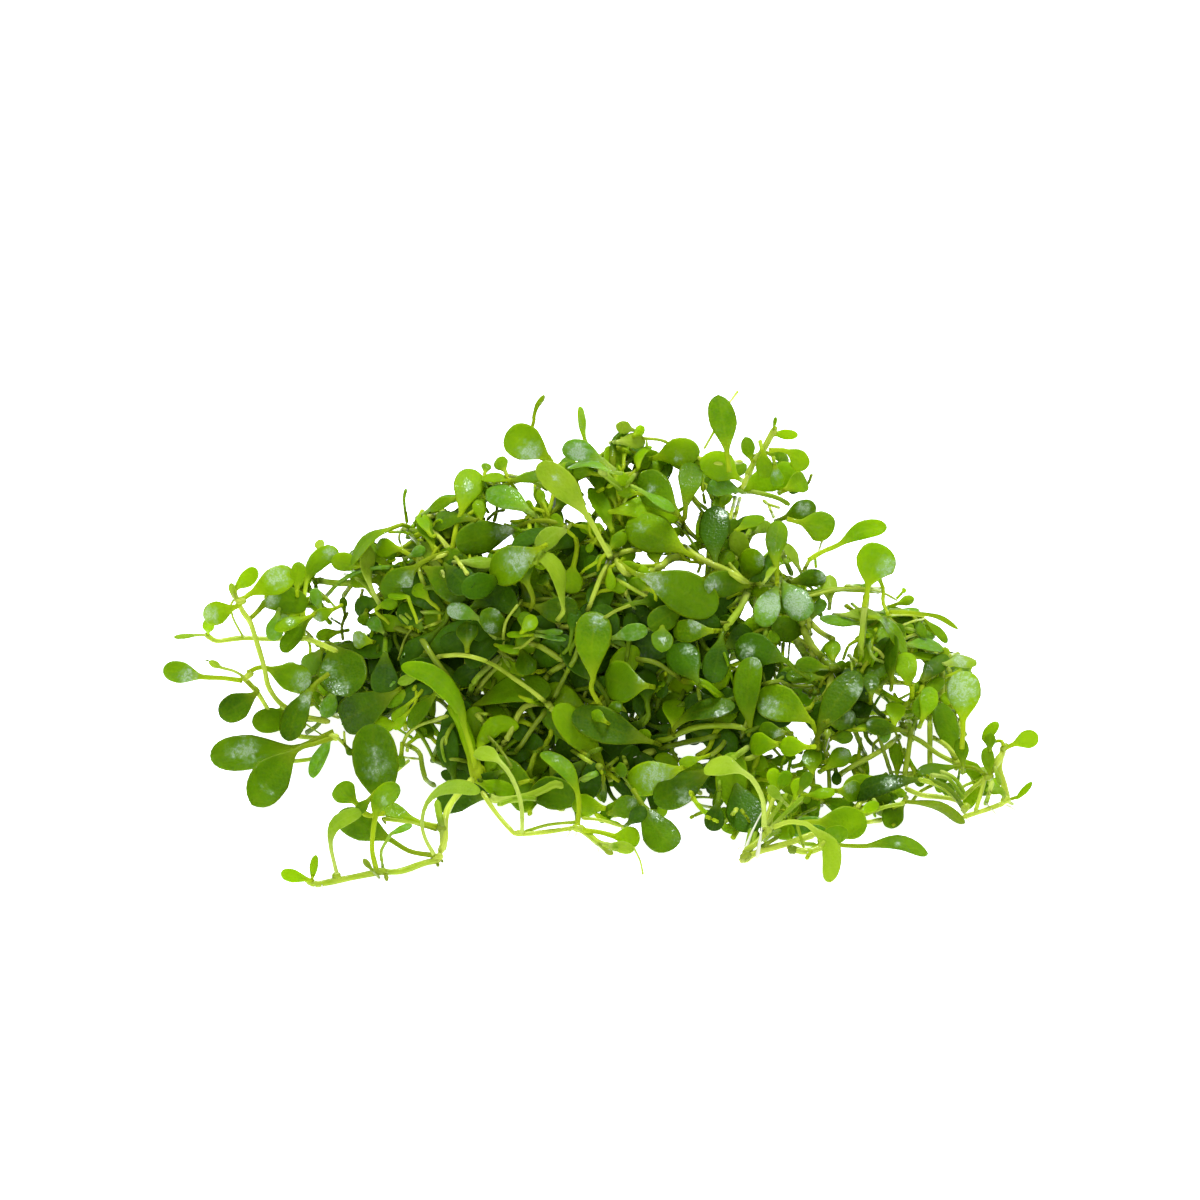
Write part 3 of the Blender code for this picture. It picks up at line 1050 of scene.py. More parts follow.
def per_mm(size: float) -> float:
    """The scale of a pattern whose features are that many millimetres apart."""
    return 1 / (size * MM)


# Numbers of the sockets that share their names with others: where a point lies on the object,
# the value of a mark, and the two colours that are mixed and what comes of them.
PLACE_OUT, MARK_OUT = 3, 2
MIX_A, MIX_B, MIX_OUT = 6, 7, 2


def add_node(
    tree: bpy.types.NodeTree, kind: str, sockets: dict | tuple = (), out: int = 0, **settings: str
) -> bpy.types.NodeSocket | None:
    """Adds a node with its settings and links.

    Args:
        tree: The node tree that it goes into.
        kind: Its type, without the word ShaderNode.
        sockets: What its sockets take, by name or number or in order: a value, or the output of
            another node, which is linked.
        out: Which of its outputs is wanted.
        **settings: Its properties.

    Returns:
        That output, if the node has any.
    """
    node = tree.nodes.new(f"ShaderNode{kind}")
    for name, setting in settings.items():
        setattr(node, name, setting)
    taken = sockets if isinstance(sockets, dict) else dict(enumerate(sockets))
    for key, value in taken.items():
        if isinstance(value, bpy.types.NodeSocket):
            tree.links.new(value, node.inputs[key])
        else:
            node.inputs[key].default_value = value
    return node.outputs[out] if node.outputs else None


def new_material(name: str) -> tuple[bpy.types.Material, bpy.types.NodeTree]:
    """Starts a material.

    Args:
        name: Its name.

    Returns:
        The material, and its node tree with nothing in it.
    """
    material = bpy.data.materials.new(name)
    material.use_nodes = True
    material.node_tree.nodes.clear()
    return material, material.node_tree


@dataclass(frozen=True)
class LeafTissue:
    """Living leaf of a water plant, as grown: a soft, thin blade with no wax on its skin.

    A clear coat stands for the water that clings to its skin, strongest where the coat-and-sheen
    mark lies; there a pale painted sheen and small white painted glints over the bumps of its cells
    are mixed into its colour: painted highlights. Its rims are painted lighter everywhere, a painted
    rim highlight. Light passes through it and comes out yellow-green. Each _show field says how
    strongly that detail tints the leaf, from 0 to 1.
    """

    name: str
    deep: str
    face: str
    light: str
    rib: str
    glow: str
    through: float = 0.4
    # Colours of the pale painted sheen and the small white painted glints: painted highlights.
    film_colour: str = "#B8D6A8"
    painted_glint_colour: str = "#E8F2E4"
    film_level: float = 0.0
    patch_mm: float = 2.6
    # Real cells are some 0.05 mm across, too fine to show, so the bumps are drawn at 0.24 mm.
    cell_mm: float = 0.24
    painted_glint_mm: float = 0.13
    roughness: float = 0.5
    wet_roughness: float = 0.24
    cell_show: float = 0.12
    # A lighter edge: painted rim highlight.
    painted_rim_light_show: float = 0.4
    under_show: float = 0.5
    # How strongly the painted sheen and the painted glints tint the leaf: painted highlights.
    film_show: float = 0.38
    painted_glint_show: float = 0.4

    def make(self) -> bpy.types.Material:
        """Makes the material.

        Returns:
            The material.
        """
        material, tree = new_material(self.name)
        place = {"Vector": add_node(tree, "TexCoord", out=PLACE_OUT)}
        along, across, under, film, tone = (
            add_node(tree, "Attribute", out=MARK_OUT, attribute_name=mark) for mark in MARKS
        )
        patches = {"Scale": per_mm(self.patch_mm), "Detail": 3.0}
        patches = add_node(tree, "TexNoise", place | patches)
        cells = add_node(tree, "TexVoronoi", place | {"Scale": per_mm(self.cell_mm)})
        rough_skin = {"Scale": per_mm(1.7 * self.cell_mm), "Detail": 2.0, "Roughness": 0.65}
        fine = add_node(tree, "TexNoise", place | rough_skin)
        painted_glints = add_node(tree, "TexNoise", place | {"Scale": per_mm(self.painted_glint_mm), "Detail": 2.5})
        shade = add_node(tree, "Math", (patches, tone), operation="ADD")
        shade = add_node(tree, "MapRange", (shade, 0.62, 1.3))
        aside = add_node(tree, "Math", (across,), operation="ABSOLUTE")
        middle = add_node(tree, "MapRange", (aside, 0.02, 0.12, 0.1, 0.0))
        base = add_node(tree, "MapRange", (along, 0.14, 0.5, 0.8, 0.0))
        # Coat-and-sheen mark broken by noise: clear coat, lower roughness, and painted highlights.
        ragged = (fine, 1.5, self.film_level - 0.75)
        ragged = add_node(tree, "Math", ragged, operation="MULTIPLY_ADD")
        film = add_node(tree, "Math", (ragged, film), operation="ADD")
        wet = add_node(tree, "MapRange", (film, 0.3, 0.85))
        painted_glints = add_node(tree, "Math", (wet, 0.5, painted_glints), operation="MULTIPLY_ADD")
        painted_glints = add_node(tree, "MapRange", (painted_glints, 0.86, 1.08, 0.0, self.painted_glint_show))
        layers = (
            (self.light, add_node(tree, "MapRange", (cells, 0.2, 0.75, 0.0, self.cell_show))),
            (self.rib, add_node(tree, "Math", (middle, base), operation="MAXIMUM")),
            # Blade edges painted lighter: painted rim highlight.
            (self.light, add_node(tree, "MapRange", (aside, 0.88, 1.0, 0.0, self.painted_rim_light_show))),
            (self.light, add_node(tree, "Math", (under, self.under_show), operation="MULTIPLY")),
            # Painted highlights: a pale sheen and white glints.
            (self.film_colour, add_node(tree, "Math", (wet, self.film_show), operation="MULTIPLY")),
            (self.painted_glint_colour, painted_glints),
        )
        base_colours = {0: shade, MIX_A: linear(self.deep), MIX_B: linear(self.face)}
        colour = add_node(tree, "Mix", base_colours, MIX_OUT, data_type="RGBA")
        for tint, share in layers:
            mixed = {0: share, MIX_A: colour, MIX_B: linear(tint)}
            colour = add_node(tree, "Mix", mixed, MIX_OUT, data_type="RGBA")
        dry_to_wet = (wet, 0.0, 0.7, self.roughness, self.wet_roughness)
        height = add_node(tree, "Math", (fine, 0.8, cells), operation="MULTIPLY_ADD")
        bump = {"Height": height, "Strength": 0.6, "Distance": 0.06 * MM}
        bump = add_node(tree, "Bump", bump)
        skin = {
            "Base Color": colour,
            "Roughness": add_node(tree, "MapRange", dry_to_wet),
            "IOR": 1.38,
            "Specular IOR Level": 0.1,
            "Coat Weight": add_node(tree, "MapRange", (film, 0.0, 0.5, 0.03, 0.9)),
            "Coat Roughness": 0.1,
            "Coat IOR": 1.33,
            "Normal": bump,
            "Coat Normal": bump,
        }
        skin = add_node(tree, "BsdfPrincipled", skin)
        glow = {0: shade, MIX_A: linear(self.face), MIX_B: linear(self.glow)}
        glow = add_node(tree, "Mix", glow, MIX_OUT, data_type="RGBA")
        lit = add_node(tree, "BsdfTranslucent", {"Color": glow})
        whole = add_node(tree, "MixShader", (self.through, skin, lit))
        add_node(tree, "OutputMaterial", {"Surface": whole})
        return material


@dataclass(frozen=True)
class StemTissue:
    """Living stem or root, as grown: a smooth, fleshy thread, pale where little light reached it.

    It shows the eye fine lengthwise streaks, brown scars at the joints and a wet shine along its
    back.
    """

    name: str
    dark: str
    pale: str
    scar: str
    glow: str
    through: float = 0.3
    roughness: float = 0.26
    scar_share: float = 0.5
    patch_mm: float = 1.3
    grain_mm: float = 0.3
    streaks: float = 9.0
    streak_show: float = 0.3

    def make(self) -> bpy.types.Material:
        """Makes the material.

        Returns:
            The material.
        """
        material, tree = new_material(self.name)
        place = {"Vector": add_node(tree, "TexCoord", out=PLACE_OUT)}
        along, across, tone = (
            add_node(tree, "Attribute", out=MARK_OUT, attribute_name=mark)
            for mark in ("along", "across", "tone")
        )
        patches = {"Scale": per_mm(self.patch_mm), "Detail": 4.0}
        patches = add_node(tree, "TexNoise", place | patches)
        shade = add_node(tree, "Math", (patches, tone), operation="ADD")
        shade = add_node(tree, "MapRange", (shade, 0.55, 1.35))
        streak = add_node(tree, "Math", (across, self.streaks), operation="MULTIPLY")
        streak = add_node(tree, "Math", (streak,), operation="SINE")
        end = add_node(tree, "Math", (along, 0.5), operation="SUBTRACT")
        end = add_node(tree, "Math", (end,), operation="ABSOLUTE")
        worn = add_node(tree, "Math", (patches, 0.22, end), operation="MULTIPLY_ADD")
        layers = (
            (self.dark, add_node(tree, "MapRange", (streak, 0.3, 1.0, 0.0, self.streak_show))),
            (self.scar, add_node(tree, "MapRange", (worn, 0.55, 0.63, 0.0, self.scar_share))),
        )
        base_colours = {0: shade, MIX_A: linear(self.dark), MIX_B: linear(self.pale)}
        colour = add_node(tree, "Mix", base_colours, MIX_OUT, data_type="RGBA")
        for tint, share in layers:
            mixed = {0: share, MIX_A: colour, MIX_B: linear(tint)}
            colour = add_node(tree, "Mix", mixed, MIX_OUT, data_type="RGBA")
        fine = add_node(tree, "TexNoise", place | {"Scale": per_mm(self.grain_mm), "Detail": 2.0})
        bump = {"Height": fine, "Strength": 0.3, "Distance": 0.05 * MM}
        bump = add_node(tree, "Bump", bump)
        skin = {
            "Base Color": colour,
            "Roughness": self.roughness,
            "IOR": 1.38,
            "Specular IOR Level": 0.2,
            "Coat Weight": 0.35,
            "Coat Roughness": 0.08,
            "Coat IOR": 1.33,
            "Normal": bump,
            "Coat Normal": bump,
        }
        skin = add_node(tree, "BsdfPrincipled", skin)
        lit = add_node(tree, "BsdfTranslucent", {"Color": linear(self.glow), "Normal": bump})
        whole = add_node(tree, "MixShader", (self.through, skin, lit))
        add_node(tree, "OutputMaterial", {"Surface": whole})
        return material


class Finishes:
    """The finish of each tissue, made once."""

    RECIPES = {
        Tissue.SHADED: LeafTissue(
            "leaf_shaded", "#1E3C00", "#3C6600", "#628208", "#6E8A10", "#769200", 0.2
        ),
        Tissue.DEEP: LeafTissue(
            "leaf_deep", "#345A00", "#608C00", "#98AE10", "#A0B01E", "#A8C200"
        ),
        Tissue.GREEN: LeafTissue(
            "leaf_green", "#528000", "#84AE00", "#B8CA18", "#BCCC20", "#CCE400"
        ),
        Tissue.BRIGHT: LeafTissue(
            "leaf_bright", "#689A00", "#92BE00", "#C4DA18", "#CADA28", "#D8EE00", 0.45
        ),
        Tissue.PALE: LeafTissue(
            "leaf_pale", "#78A010", "#A0BC2A", "#C6D860", "#CCDA6A", "#CCDE38", 0.38
        ),
        Tissue.OLIVE: LeafTissue(
            "leaf_olive", "#7CA010", "#A4C02A", "#C6D64C", "#CAD854", "#D2E030", 0.45
        ),
        # Silver leaves carry a clear coat and a painted sheen over the whole blade: painted highlight.
        Tissue.SILVER: LeafTissue(
            "leaf_silver", "#4E860A", "#76AA18", "#B0CC50", "#B8CC48", "#BADA1C", film_level=0.3
        ),
        Tissue.RUNNER: StemTissue(
            "runner", "#88A80C", "#CEDC54", "#98903A", "#DEE858", scar_share=0.3
        ),
        Tissue.TAN: StemTissue(
            "runner_tan", "#5E7C08", "#9EB030", "#746C28", "#B2C230", scar_share=0.35
        ),
        Tissue.ROOT: StemTissue(
            "root", "#D9D8C0", "#F6F5EA", "#C8B890", "#FBFAF0", scar_share=0.2
        ),
    }

    def __init__(self) -> None:
        """No finish made yet."""
        self.made: dict[Tissue, bpy.types.Material] = {}

    def material(self, tissue: Tissue) -> bpy.types.Material:
        """The material of a tissue."""
        if tissue not in self.made:
            self.made[tissue] = self.RECIPES[tissue].make()
        return self.made[tissue]


@dataclass(frozen=True)
class OpalTable:
    """Opal acrylic table top, cast: white, smooth and faintly lit from below, for weak shadows."""

    colour: str = "#FBFCFC"
    roughness: float = 0.6
    spread: float = 0.05
    glow: float = 0.9

    def make(self) -> bpy.types.Material:
        """Makes the material.

        Returns:
            The material.
        """
        material, tree = new_material("table_top")
        cloud = add_node(tree, "TexNoise", {"Scale": 2.0})
        ranges = (cloud, 0.0, 1.0, self.roughness - self.spread, self.roughness + self.spread)
        surface = {
            "Base Color": linear(self.colour),
            "Roughness": add_node(tree, "MapRange", ranges),
            "Specular IOR Level": 0.2,
            "Emission Color": linear(self.colour),
            "Emission Strength": self.glow,
        }
        surface = add_node(tree, "BsdfPrincipled", surface)
        add_node(tree, "OutputMaterial", {"Surface": surface})
        return material


@dataclass(frozen=True)
class Lamp:
    """A soft box.

    Attributes:
        name: Its name.
        place: Where it hangs, in millimetres.
        size: Its side, in millimetres.
        power: Its power in watts.
        colour: The colour of its light.
    """

    name: str
    place: tuple[float, float, float]
    size: float
    power: float
    colour: str = "#FFFFFF"

    def build(self) -> None:
        """Hangs the lamp, turned to the heap."""
        data = bpy.data.lights.new(self.name, "AREA")
        data.shape, data.size = "SQUARE", self.size * MM
        data.energy, data.color = self.power, linear(self.colour)[:3]
        lamp = put_in_scene(self.name, data)
        lamp.location = Vector(self.place) * MM
        lamp.rotation_mode = "QUATERNION"
        to_heap = Vector((0, 0, 10)) - Vector(self.place)
        lamp.rotation_quaternion = to_heap.to_track_quat("-Z", "Y")


@dataclass(frozen=True)
class Studio:
    """The white table, the soft light and the camera."""

    table_size: float = 6000.0
    air: str = "#FBFDFF"
    air_strength: float = 0.6
    film_width: float = 36.0
    lamps: tuple[Lamp, ...] = (
        Lamp("lamp_above", (40, 120, 400), 130, 2.3, "#F4F9FF"),
        Lamp("lamp_front", (-200, -420, 300), 300, 0.74),
    )

    def build(self, photo: Photograph) -> None:
        """Makes the studio round the heap.

        Args:
            photo: The place that the photograph was taken from.
        """
        half = self.table_size * MM / 2
        mesh = bpy.data.meshes.new("table_top")
        corners = [(-half, -half, 0), (half, -half, 0), (half, half, 0), (-half, half, 0)]
        mesh.from_pydata(corners, [], [(0, 1, 2, 3)])
        mesh.materials.append(OpalTable().make())
        table = put_in_scene("table_top", mesh)
        for lamp in self.lamps:
            lamp.build()
        world = bpy.data.worlds.new("air")
        world.use_nodes = True
        sky = world.node_tree.nodes["Background"]
        sky.inputs["Color"].default_value = linear(self.air)
        sky.inputs["Strength"].default_value = self.air_strength
        bpy.context.scene.world = world
        bpy.context.scene.view_settings.view_transform = "Standard"
        data = bpy.data.cameras.new("camera")
        data.sensor_width = self.film_width
        data.lens = self.film_width * photo.focal / (2 * photo.middle)
        data.clip_start, data.clip_end = 0.01, 100.0
        camera = put_in_scene("camera", data)
        camera.location = Vector(photo.eye) * MM
        camera.rotation_euler = (math.pi / 2 - photo.pitch, 0, 0)
        bpy.context.scene.camera = camera


# The heap


class Heap:
    """The whole heap, piece by piece."""

    # How far from every tuft a sprig is free, and where the sprigs of each side begin.
    FREE = 2.2
    LEFT, RIGHT, TOP = 25, 24, 14
    # How far over the table the lowest points lie, and how far a sunken part is lifted at most.
    TABLE_GAP = 0.04
    MOST_LIFT = 7.0

    def __init__(self, relief: Relief) -> None:
        """An empty heap.

        Args:
            relief: Where its leaves lie so far.
        """
        self.carriers = relief.carriers
        self.relief = relief
        self.photo = relief.photo
        self.pieces: dict[str, PieceMesh] = {}

    def add(self, name: str, loft: Loft) -> None:
        """Joins a loft to the piece of that name."""
        self.pieces.setdefault(name, PieceMesh(name)).add(loft)

    def home(self, loft: Loft) -> str:
        """The name of the piece that a loft without a solid belongs to."""
        middle = loft.rings[len(loft.rings) // 2].mean(0)
        tuft, away = self.carriers.nearest_tuft(middle)
        if away < self.FREE:
            return tuft.replace("tuft", "foliage")
        sides = {
            "left": -middle[0] - self.LEFT,
            "right": middle[0] - self.RIGHT,
            "top": middle[2] - self.TOP,
            "front": 0.0,
        }
        return f"sprigs_{max(sides, key=sides.get)}"

    def read(self, lines: str) -> list[Trace]:
        """Reads what the photograph shows.

        Args:
            lines: The tracing, one leaf or strand a line.

        Returns:
            The traces, from the back of the heap to its front.
        """
        given = [line for line in lines.splitlines() if line and line[0] != "#"]
        traces = [Trace.read(line, self.photo) for line in given]
        return sorted(traces, key=lambda trace: trace.layer)

    def lay(self, trace: Trace) -> None:
        """Builds one traced leaf or strand and lays it on the heap.

        Args:
            trace: How it shows.
        """
        part = (trace.leaf if trace.is_leaf else trace.strand)(self.relief)
        loft = trace.wet(part.loft(), self.photo)
        if trace.node:
            self.join(loft, f"{'blade' if trace.is_leaf else 'stem'}_{trace.node}")
            return
        below = max(self.TABLE_GAP - float(loft.rings[..., 2].min()), 0)
        lift = min(below / math.sin(self.photo.pitch), self.MOST_LIFT)
        loft.rings = loft.rings - self.photo.forward * lift
        self.join(loft)

    def join(self, loft: Loft, name: str = "") -> None:
        """Adds a loft to the heap.

        Args:
            loft: The loft.
            name: Its piece's name, where it has a solid of its own.
        """
        sunk = np.maximum(self.TABLE_GAP - loft.rings[..., 2].min(1), 0)
        loft.rings[..., 2] += evened(sunk, 1)[:, None]
        loft.rings[..., 2] = np.maximum(loft.rings[..., 2], self.TABLE_GAP)
        self.relief.lay(loft.rings)
        if not name:
            name = self.home(loft)
            if loft.tissue is Tissue.ROOT:
                name = name.replace("sprigs", "roots").replace("foliage", "roots")
        self.add(name, loft)

    def build(self, finishes: Finishes, record: dict) -> None:
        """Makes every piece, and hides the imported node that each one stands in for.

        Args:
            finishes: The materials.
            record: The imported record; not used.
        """
        nodes = {"blade": "leaf", "stem": "runner", "foliage": "tuft"}
        for name, mesh in sorted(self.pieces.items()):
            piece = mesh.build(finishes)
            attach(piece, "root")
            kind, _, rest = name.partition("_")
            node = f"{nodes[kind]}_{rest}" if kind in nodes else ""
            if node:
                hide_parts(node)
            LOG.info("%s: %d faces", name, len(piece.data.polygons))


class Outline:
    """The part of the picture that the heap fills, without the openings in it."""

    # An opening's size, as the square of a share of what is given.
    OPEN = 1.1

    def __init__(self, corners: str, core: str, openings: str) -> None:
        """Marks the cells inside.

        Args:
            corners: The outline's corners.
            core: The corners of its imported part; the rest is loose.
            openings: The least and greatest pixels of each opening.
        """
        middles = (np.arange(Relief.CELLS) + 0.5) * Relief.CELL
        self.x, self.y = np.meshgrid(middles, middles)
        self.inside = self._within(corners)
        for word in openings.split():
            x0, y0, x1, y1 = (float(v) for v in word.split(","))
            aside = (2 * self.x - x0 - x1) / (x1 - x0)
            above = (2 * self.y - y0 - y1) / (y1 - y0)
            self.inside &= aside**2 + above**2 > self.OPEN
        self.packed = self.inside & self._within(core)
        self.loose = self.inside & ~self.packed

    def _within(self, corners: str) -> Array:
        """The cells inside a ring of corners."""
        within = np.zeros(self.x.shape, bool)
        ring = np.array([word.split(",") for word in corners.split()], float)
        for (x0, y0), (x1, y1) in zip(ring, np.roll(ring, -1, axis=0)):
            if y0 != y1:
                left = self.x < x0 + (x1 - x0) * (self.y - y0) / (y1 - y0)
                within ^= ((y0 > self.y) != (y1 > self.y)) & left
        return within


@dataclass
class Undergrowth:
    """The shoots inside the heap, and those on the sides that the photograph doesn't show.

    Attributes:
        heap: The heap that they belong to.
        outline: Where the heap may show in the photograph.
        chance: Its random numbers.
        packed_gap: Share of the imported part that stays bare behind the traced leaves.
        loose_gap: The same of the loose part.
        shown: How near the heap stands where the photograph shows it, and infinity elsewhere.
    """

    heap: Heap
    outline: Outline
    chance: np.random.Generator = field(default_factory=lambda: np.random.default_rng(11))
    packed_gap: float = 0.02
    loose_gap: float = 0.02
    shown: Array | None = None

    TISSUES = {
        Tissue.DEEP: 0.48,
        Tissue.GREEN: 0.36,
        Tissue.BRIGHT: 0.08,
        Tissue.OLIVE: 0.02,
        Tissue.PALE: 0.02,
        Tissue.SILVER: 0.04,
    }
    # How often a leaf or stalk is tried in the backing, and after how many the bare cells are
    # counted again.
    TRIES, COUNT_EVERY = 2800, 10
    # The heap's middle pixel, which the stalks come from.
    MIDDLE = (600.0, 700.0)
    # How far under the mound's skin the backing lies, least and most.
    BED = (1.2, 5.0)
    # How far behind the traced leaves a shoot has to stay, and the share of its points that do.
    BEHIND, HIDDEN = 0.3, 0.992
    # Sizes of the leaves on the shoots, least and most.
    BLADE, STALK, LENGTH_TO_WIDTH = (3.4, 6.8), (1.2, 4.2), (1.65, 2.15)
    # Distances between the joints of a shoot, and the least height of a leaf.
    JOINTS, LOWEST = (5.5, 8.5), 0.5
    # Twice the area of all the tufts' skins, in square millimetres.
    SKIN = 4000

    def tissue(self, lighter: float = 0.0) -> Tissue:
        """A leaf's tissue, drawn by how common it is.

        Args:
            lighter: Share of the dark leaves that are light ones instead.

        Returns:
            The tissue.
        """
        kinds = list(self.TISSUES)
        drawn = kinds[int(self.chance.choice(len(kinds), p=list(self.TISSUES.values())))]
        if drawn is Tissue.DEEP and self.chance.random() < lighter:
            return Tissue.GREEN
        return drawn

    def backing(self, traces: list[Trace]) -> None:
        """Strews the leaves and stalks that lie deepest in the heap, as seen in the photograph.

        Args:
            traces: What comes to lie over them.
        """
        relief = self.heap.relief
        packed, loose = self.outline.packed, self.outline.loose.copy()
        for trace in traces:
            if trace.tissue is not Tissue.ROOT:
                width = trace.width * (Photograph.PIXELS_PER_MM if trace.node else 1)
                loose[relief.cells(self._footprint(trace.runs[-1][:, :2], width))] = False
        airy, spots = False, np.empty((0, 2), int)
        for turn in range(self.TRIES):
            if turn % self.COUNT_EVERY == 0:
                bare = relief.bare()
                airy = airy or (bare & packed).sum() < self.packed_gap * packed.sum()
                spots = np.argwhere(bare & (loose if airy else packed))[:, ::-1]
                if airy and len(spots) < self.loose_gap * self.outline.loose.sum():
                    break
            spot = spots[self.chance.integers(len(spots))] * relief.CELL
            spot = spot + self.chance.normal(0, 2, 2)
            is_strand = self.chance.random() < (0.35 if airy else 0.25)
            size = 1 - 0.62 * turn / self.TRIES
            trace = (self._strand_over if is_strand else self._leaf_over)(spot, airy, size)
            footprint = self._footprint(trace.runs[-1][:, :2], trace.width)
            inside = self.outline.inside[relief.cells(footprint)].mean()
            if inside > 0.97 - 0.12 * turn / self.TRIES:
                self.heap.lay(trace)
        LOG.info("backing: %d tries, %d bare cells", turn, len(spots))

    @staticmethod
    def _footprint(run: Array, width: float) -> Array:
        """Spreads pixels over a leaf or strand.

        Args:
            run: Pixels along it.
            width: Its width in pixels.

        Returns:
            The pixels.
        """
        path = smooth_path(run, int(strides(run).sum() / 2) + 4)
        ahead = unit(np.gradient(path, axis=0))
        aside = np.stack([-ahead[:, 1], ahead[:, 0]], 1) * width / 2
        shares = np.linspace(-0.9, 0.9, int(width / 2) + 3)
        return (path + aside * shares[:, None, None]).reshape(-1, 2)

    def _strand_over(self, spot: Array, airy: bool, size: float) -> Trace:
        """A stalk or runner that crosses a pixel.

        Args:
            spot: The pixel.
            airy: Whether light reaches it.
            size: How large it is, as a share of the usual.

        Returns:
            Its trace.
        """
        angle, half = self.chance.uniform(0, math.pi), self.chance.uniform(12, 30) * size
        ahead = np.array([math.cos(angle), math.sin(angle)]) * half
        aside = np.array([-ahead[1], ahead[0]]) * self.chance.uniform(-0.25, 0.25)
        run = np.array([spot - ahead, spot + aside, spot + ahead])
        kinds = [Tissue.RUNNER, Tissue.PALE, Tissue.BRIGHT] if airy else [Tissue.TAN, Tissue.GREEN]
        kind = kinds[self.chance.integers(len(kinds))]
        return self._unseen([run], self.chance.uniform(3, 6), kind)

    def _unseen(self, runs: list[Array], width: float, tissue: Tissue) -> Trace:
        """The trace of a leaf or strand that lies behind the traced ones.

        Args:
            runs: Pixels along it.
            width: Its width in pixels.
            tissue: What it is made of.

        Returns:
            The trace, with no distance known.
        """
        runs = [np.column_stack([run, np.full(len(run), math.nan)]) for run in runs]
        return Trace("", runs, width, tissue, -1, bed=self.BED)

    def _leaf_over(self, spot: Array, airy: bool, size: float) -> Trace:
        """A leaf whose blade lies over a pixel, with its stalk towards the heap's middle.

        Args:
            spot: The pixel.
            airy: Whether light reaches it.
            size: How large it is, as a share of the usual.

        Returns:
            Its trace.
        """
        outward = spot - np.array(self.MIDDLE)
        angle = math.atan2(outward[1], outward[0]) + self.chance.normal(0, 0.9 if airy else 2)
        width = size * (self.chance.uniform(12, 27) if airy else self.chance.uniform(15, 34))
        ahead = np.array([math.cos(angle), math.sin(angle)])
        aside = np.array([-ahead[1], ahead[0]])
        half = width * self.chance.uniform(0.7, 1.05)
        blade = spot + np.array([-ahead, aside * self.chance.uniform(-0.2, 0.2), ahead]) * half
        reach, sway = self.chance.uniform(10, 26), self.chance.uniform(-0.5, 0.5)
        stalk = blade[0] - np.array([ahead + aside * sway, ahead * 0.5]) * reach
        shaded = not airy and self.chance.random() < 0.75
        tissue = Tissue.SHADED if shaded else self.tissue(0.7 if airy else 0.3)
        return self._unseen([stalk, blade], width, tissue)

    def skin_points(self, count: int) -> tuple[Array, Array]:
        """Points spread over the outside of the tufts.

        Args:
            count: How many to draw.

        Returns:
            The points, and the way the skin faces there.
        """
        points, facings = [], []
        for triangles in self.heap.carriers.triangles.values():
            a, b, c = (triangles[:, i] for i in range(3))
            across = np.cross(b - a, c - a)
            area = np.linalg.norm(across, axis=1)
            drawn = int(count * area.sum() / self.SKIN) + 1
            picks = self.chance.choice(len(area), size=drawn, p=area / area.sum())
            shares = self.chance.random((len(picks), 2))
            shares = np.where(shares.sum(1, keepdims=True) > 1, 1 - shares, shares)
            a, b, c = a[picks], b[picks], c[picks]
            points.append(a + (b - a) * shares[:, :1] + (c - a) * shares[:, 1:])
            facings.append(unit(across[picks]))
        points, facings = np.vstack(points), np.vstack(facings)
        mound = self.heap.carriers.mound
        kept = [
            facing[2] > -0.4
            and point[2] > 0.8
            and mound.ray_cast(Vector(point + facing * 0.02), Vector(facing), 2.5)[0] is None
            for point, facing in zip(points, facings)
        ]
        return points[kept], facings[kept]

    def fits(self, rings: Array) -> bool:
        """Whether a skin keeps behind what the photograph shows, and inside its outline.

        Args:
            rings: Its points.

        Returns:
            Whether it does.
        """
        pixels, depth = self.heap.photo.project(rings.reshape(-1, 3))
        cells = self.heap.relief.cells(pixels)
        near = self.shown[cells]
        hidden = depth > near + self.BEHIND
        free = self.outline.packed[cells] & np.isinf(near)
        return float((hidden | free).mean()) > self.HIDDEN

    def shoots(self, count: int, inside: tuple[float, float]) -> None:
        """Grows shoots along the skin of the heap.

        Args:
            count: How many to try over the whole heap.
            inside: How far under the skin they run, least and most.
        """
        relief = self.heap.relief
        self.shown = np.where(relief.bare(), np.inf, relief.near)
        starts, facings = self.skin_points(count)
        order = self.chance.permutation(len(starts))
        for point, facing in zip(starts[order], facings[order]):
            depth = self.chance.uniform(*inside)
            heading = unit(np.cross(facing, self.chance.normal(size=3)))
            joints, outward = [], []
            for _ in range(int(self.chance.integers(2, 5))):
                joints.append(point - facing * depth)
                outward.append(facing)
                heading = unit(heading + self.chance.normal(0, 0.35, 3))
                ahead = Vector(point + heading * self.chance.uniform(*self.JOINTS))
                spot, turned = relief.carriers.mound.find_nearest(ahead)[:2]
                point = np.array(spot)
                facing = unit(0.5 * facing + 0.5 * np.array(turned))
                heading = unit(heading - facing * (heading @ facing))
            self._shoot(np.array(joints), np.array(outward))

    def _shoot(self, joints: Array, outward: Array) -> None:
        """Builds one shoot: a runner with a pair of leaves at each joint.

        Args:
            joints: The places of its joints.
            outward: The way out of the heap at each joint.
        """
        joints[:, 2] = np.maximum(joints[:, 2], 0.6)
        bends = joints + self.chance.normal(0, 0.4, joints.shape)
        tissue = Tissue.RUNNER if self.chance.random() < 0.75 else Tissue.TAN
        for a, b, i in zip(joints, joints[1:], range(len(joints))):
            middle = (bends[i] + bends[i + 1]) / 2 + np.array([0, 0, 0.3])
            radius, tone = self.chance.uniform(0.16, 0.26), self.chance.random()
            stem = Strand(np.array([a, middle, b]), radius, tissue, tone, around=7, step=2.6)
            loft = stem.loft()
            if self.fits(loft.rings):
                self.heap.join(loft)
        ahead = unit(np.gradient(joints, axis=0))
        for place, out, way in zip(joints, outward, ahead):
            for side in (-1, 1):
                if self.chance.random() < 0.88:
                    self._pair_leaf(place, out, way, side)

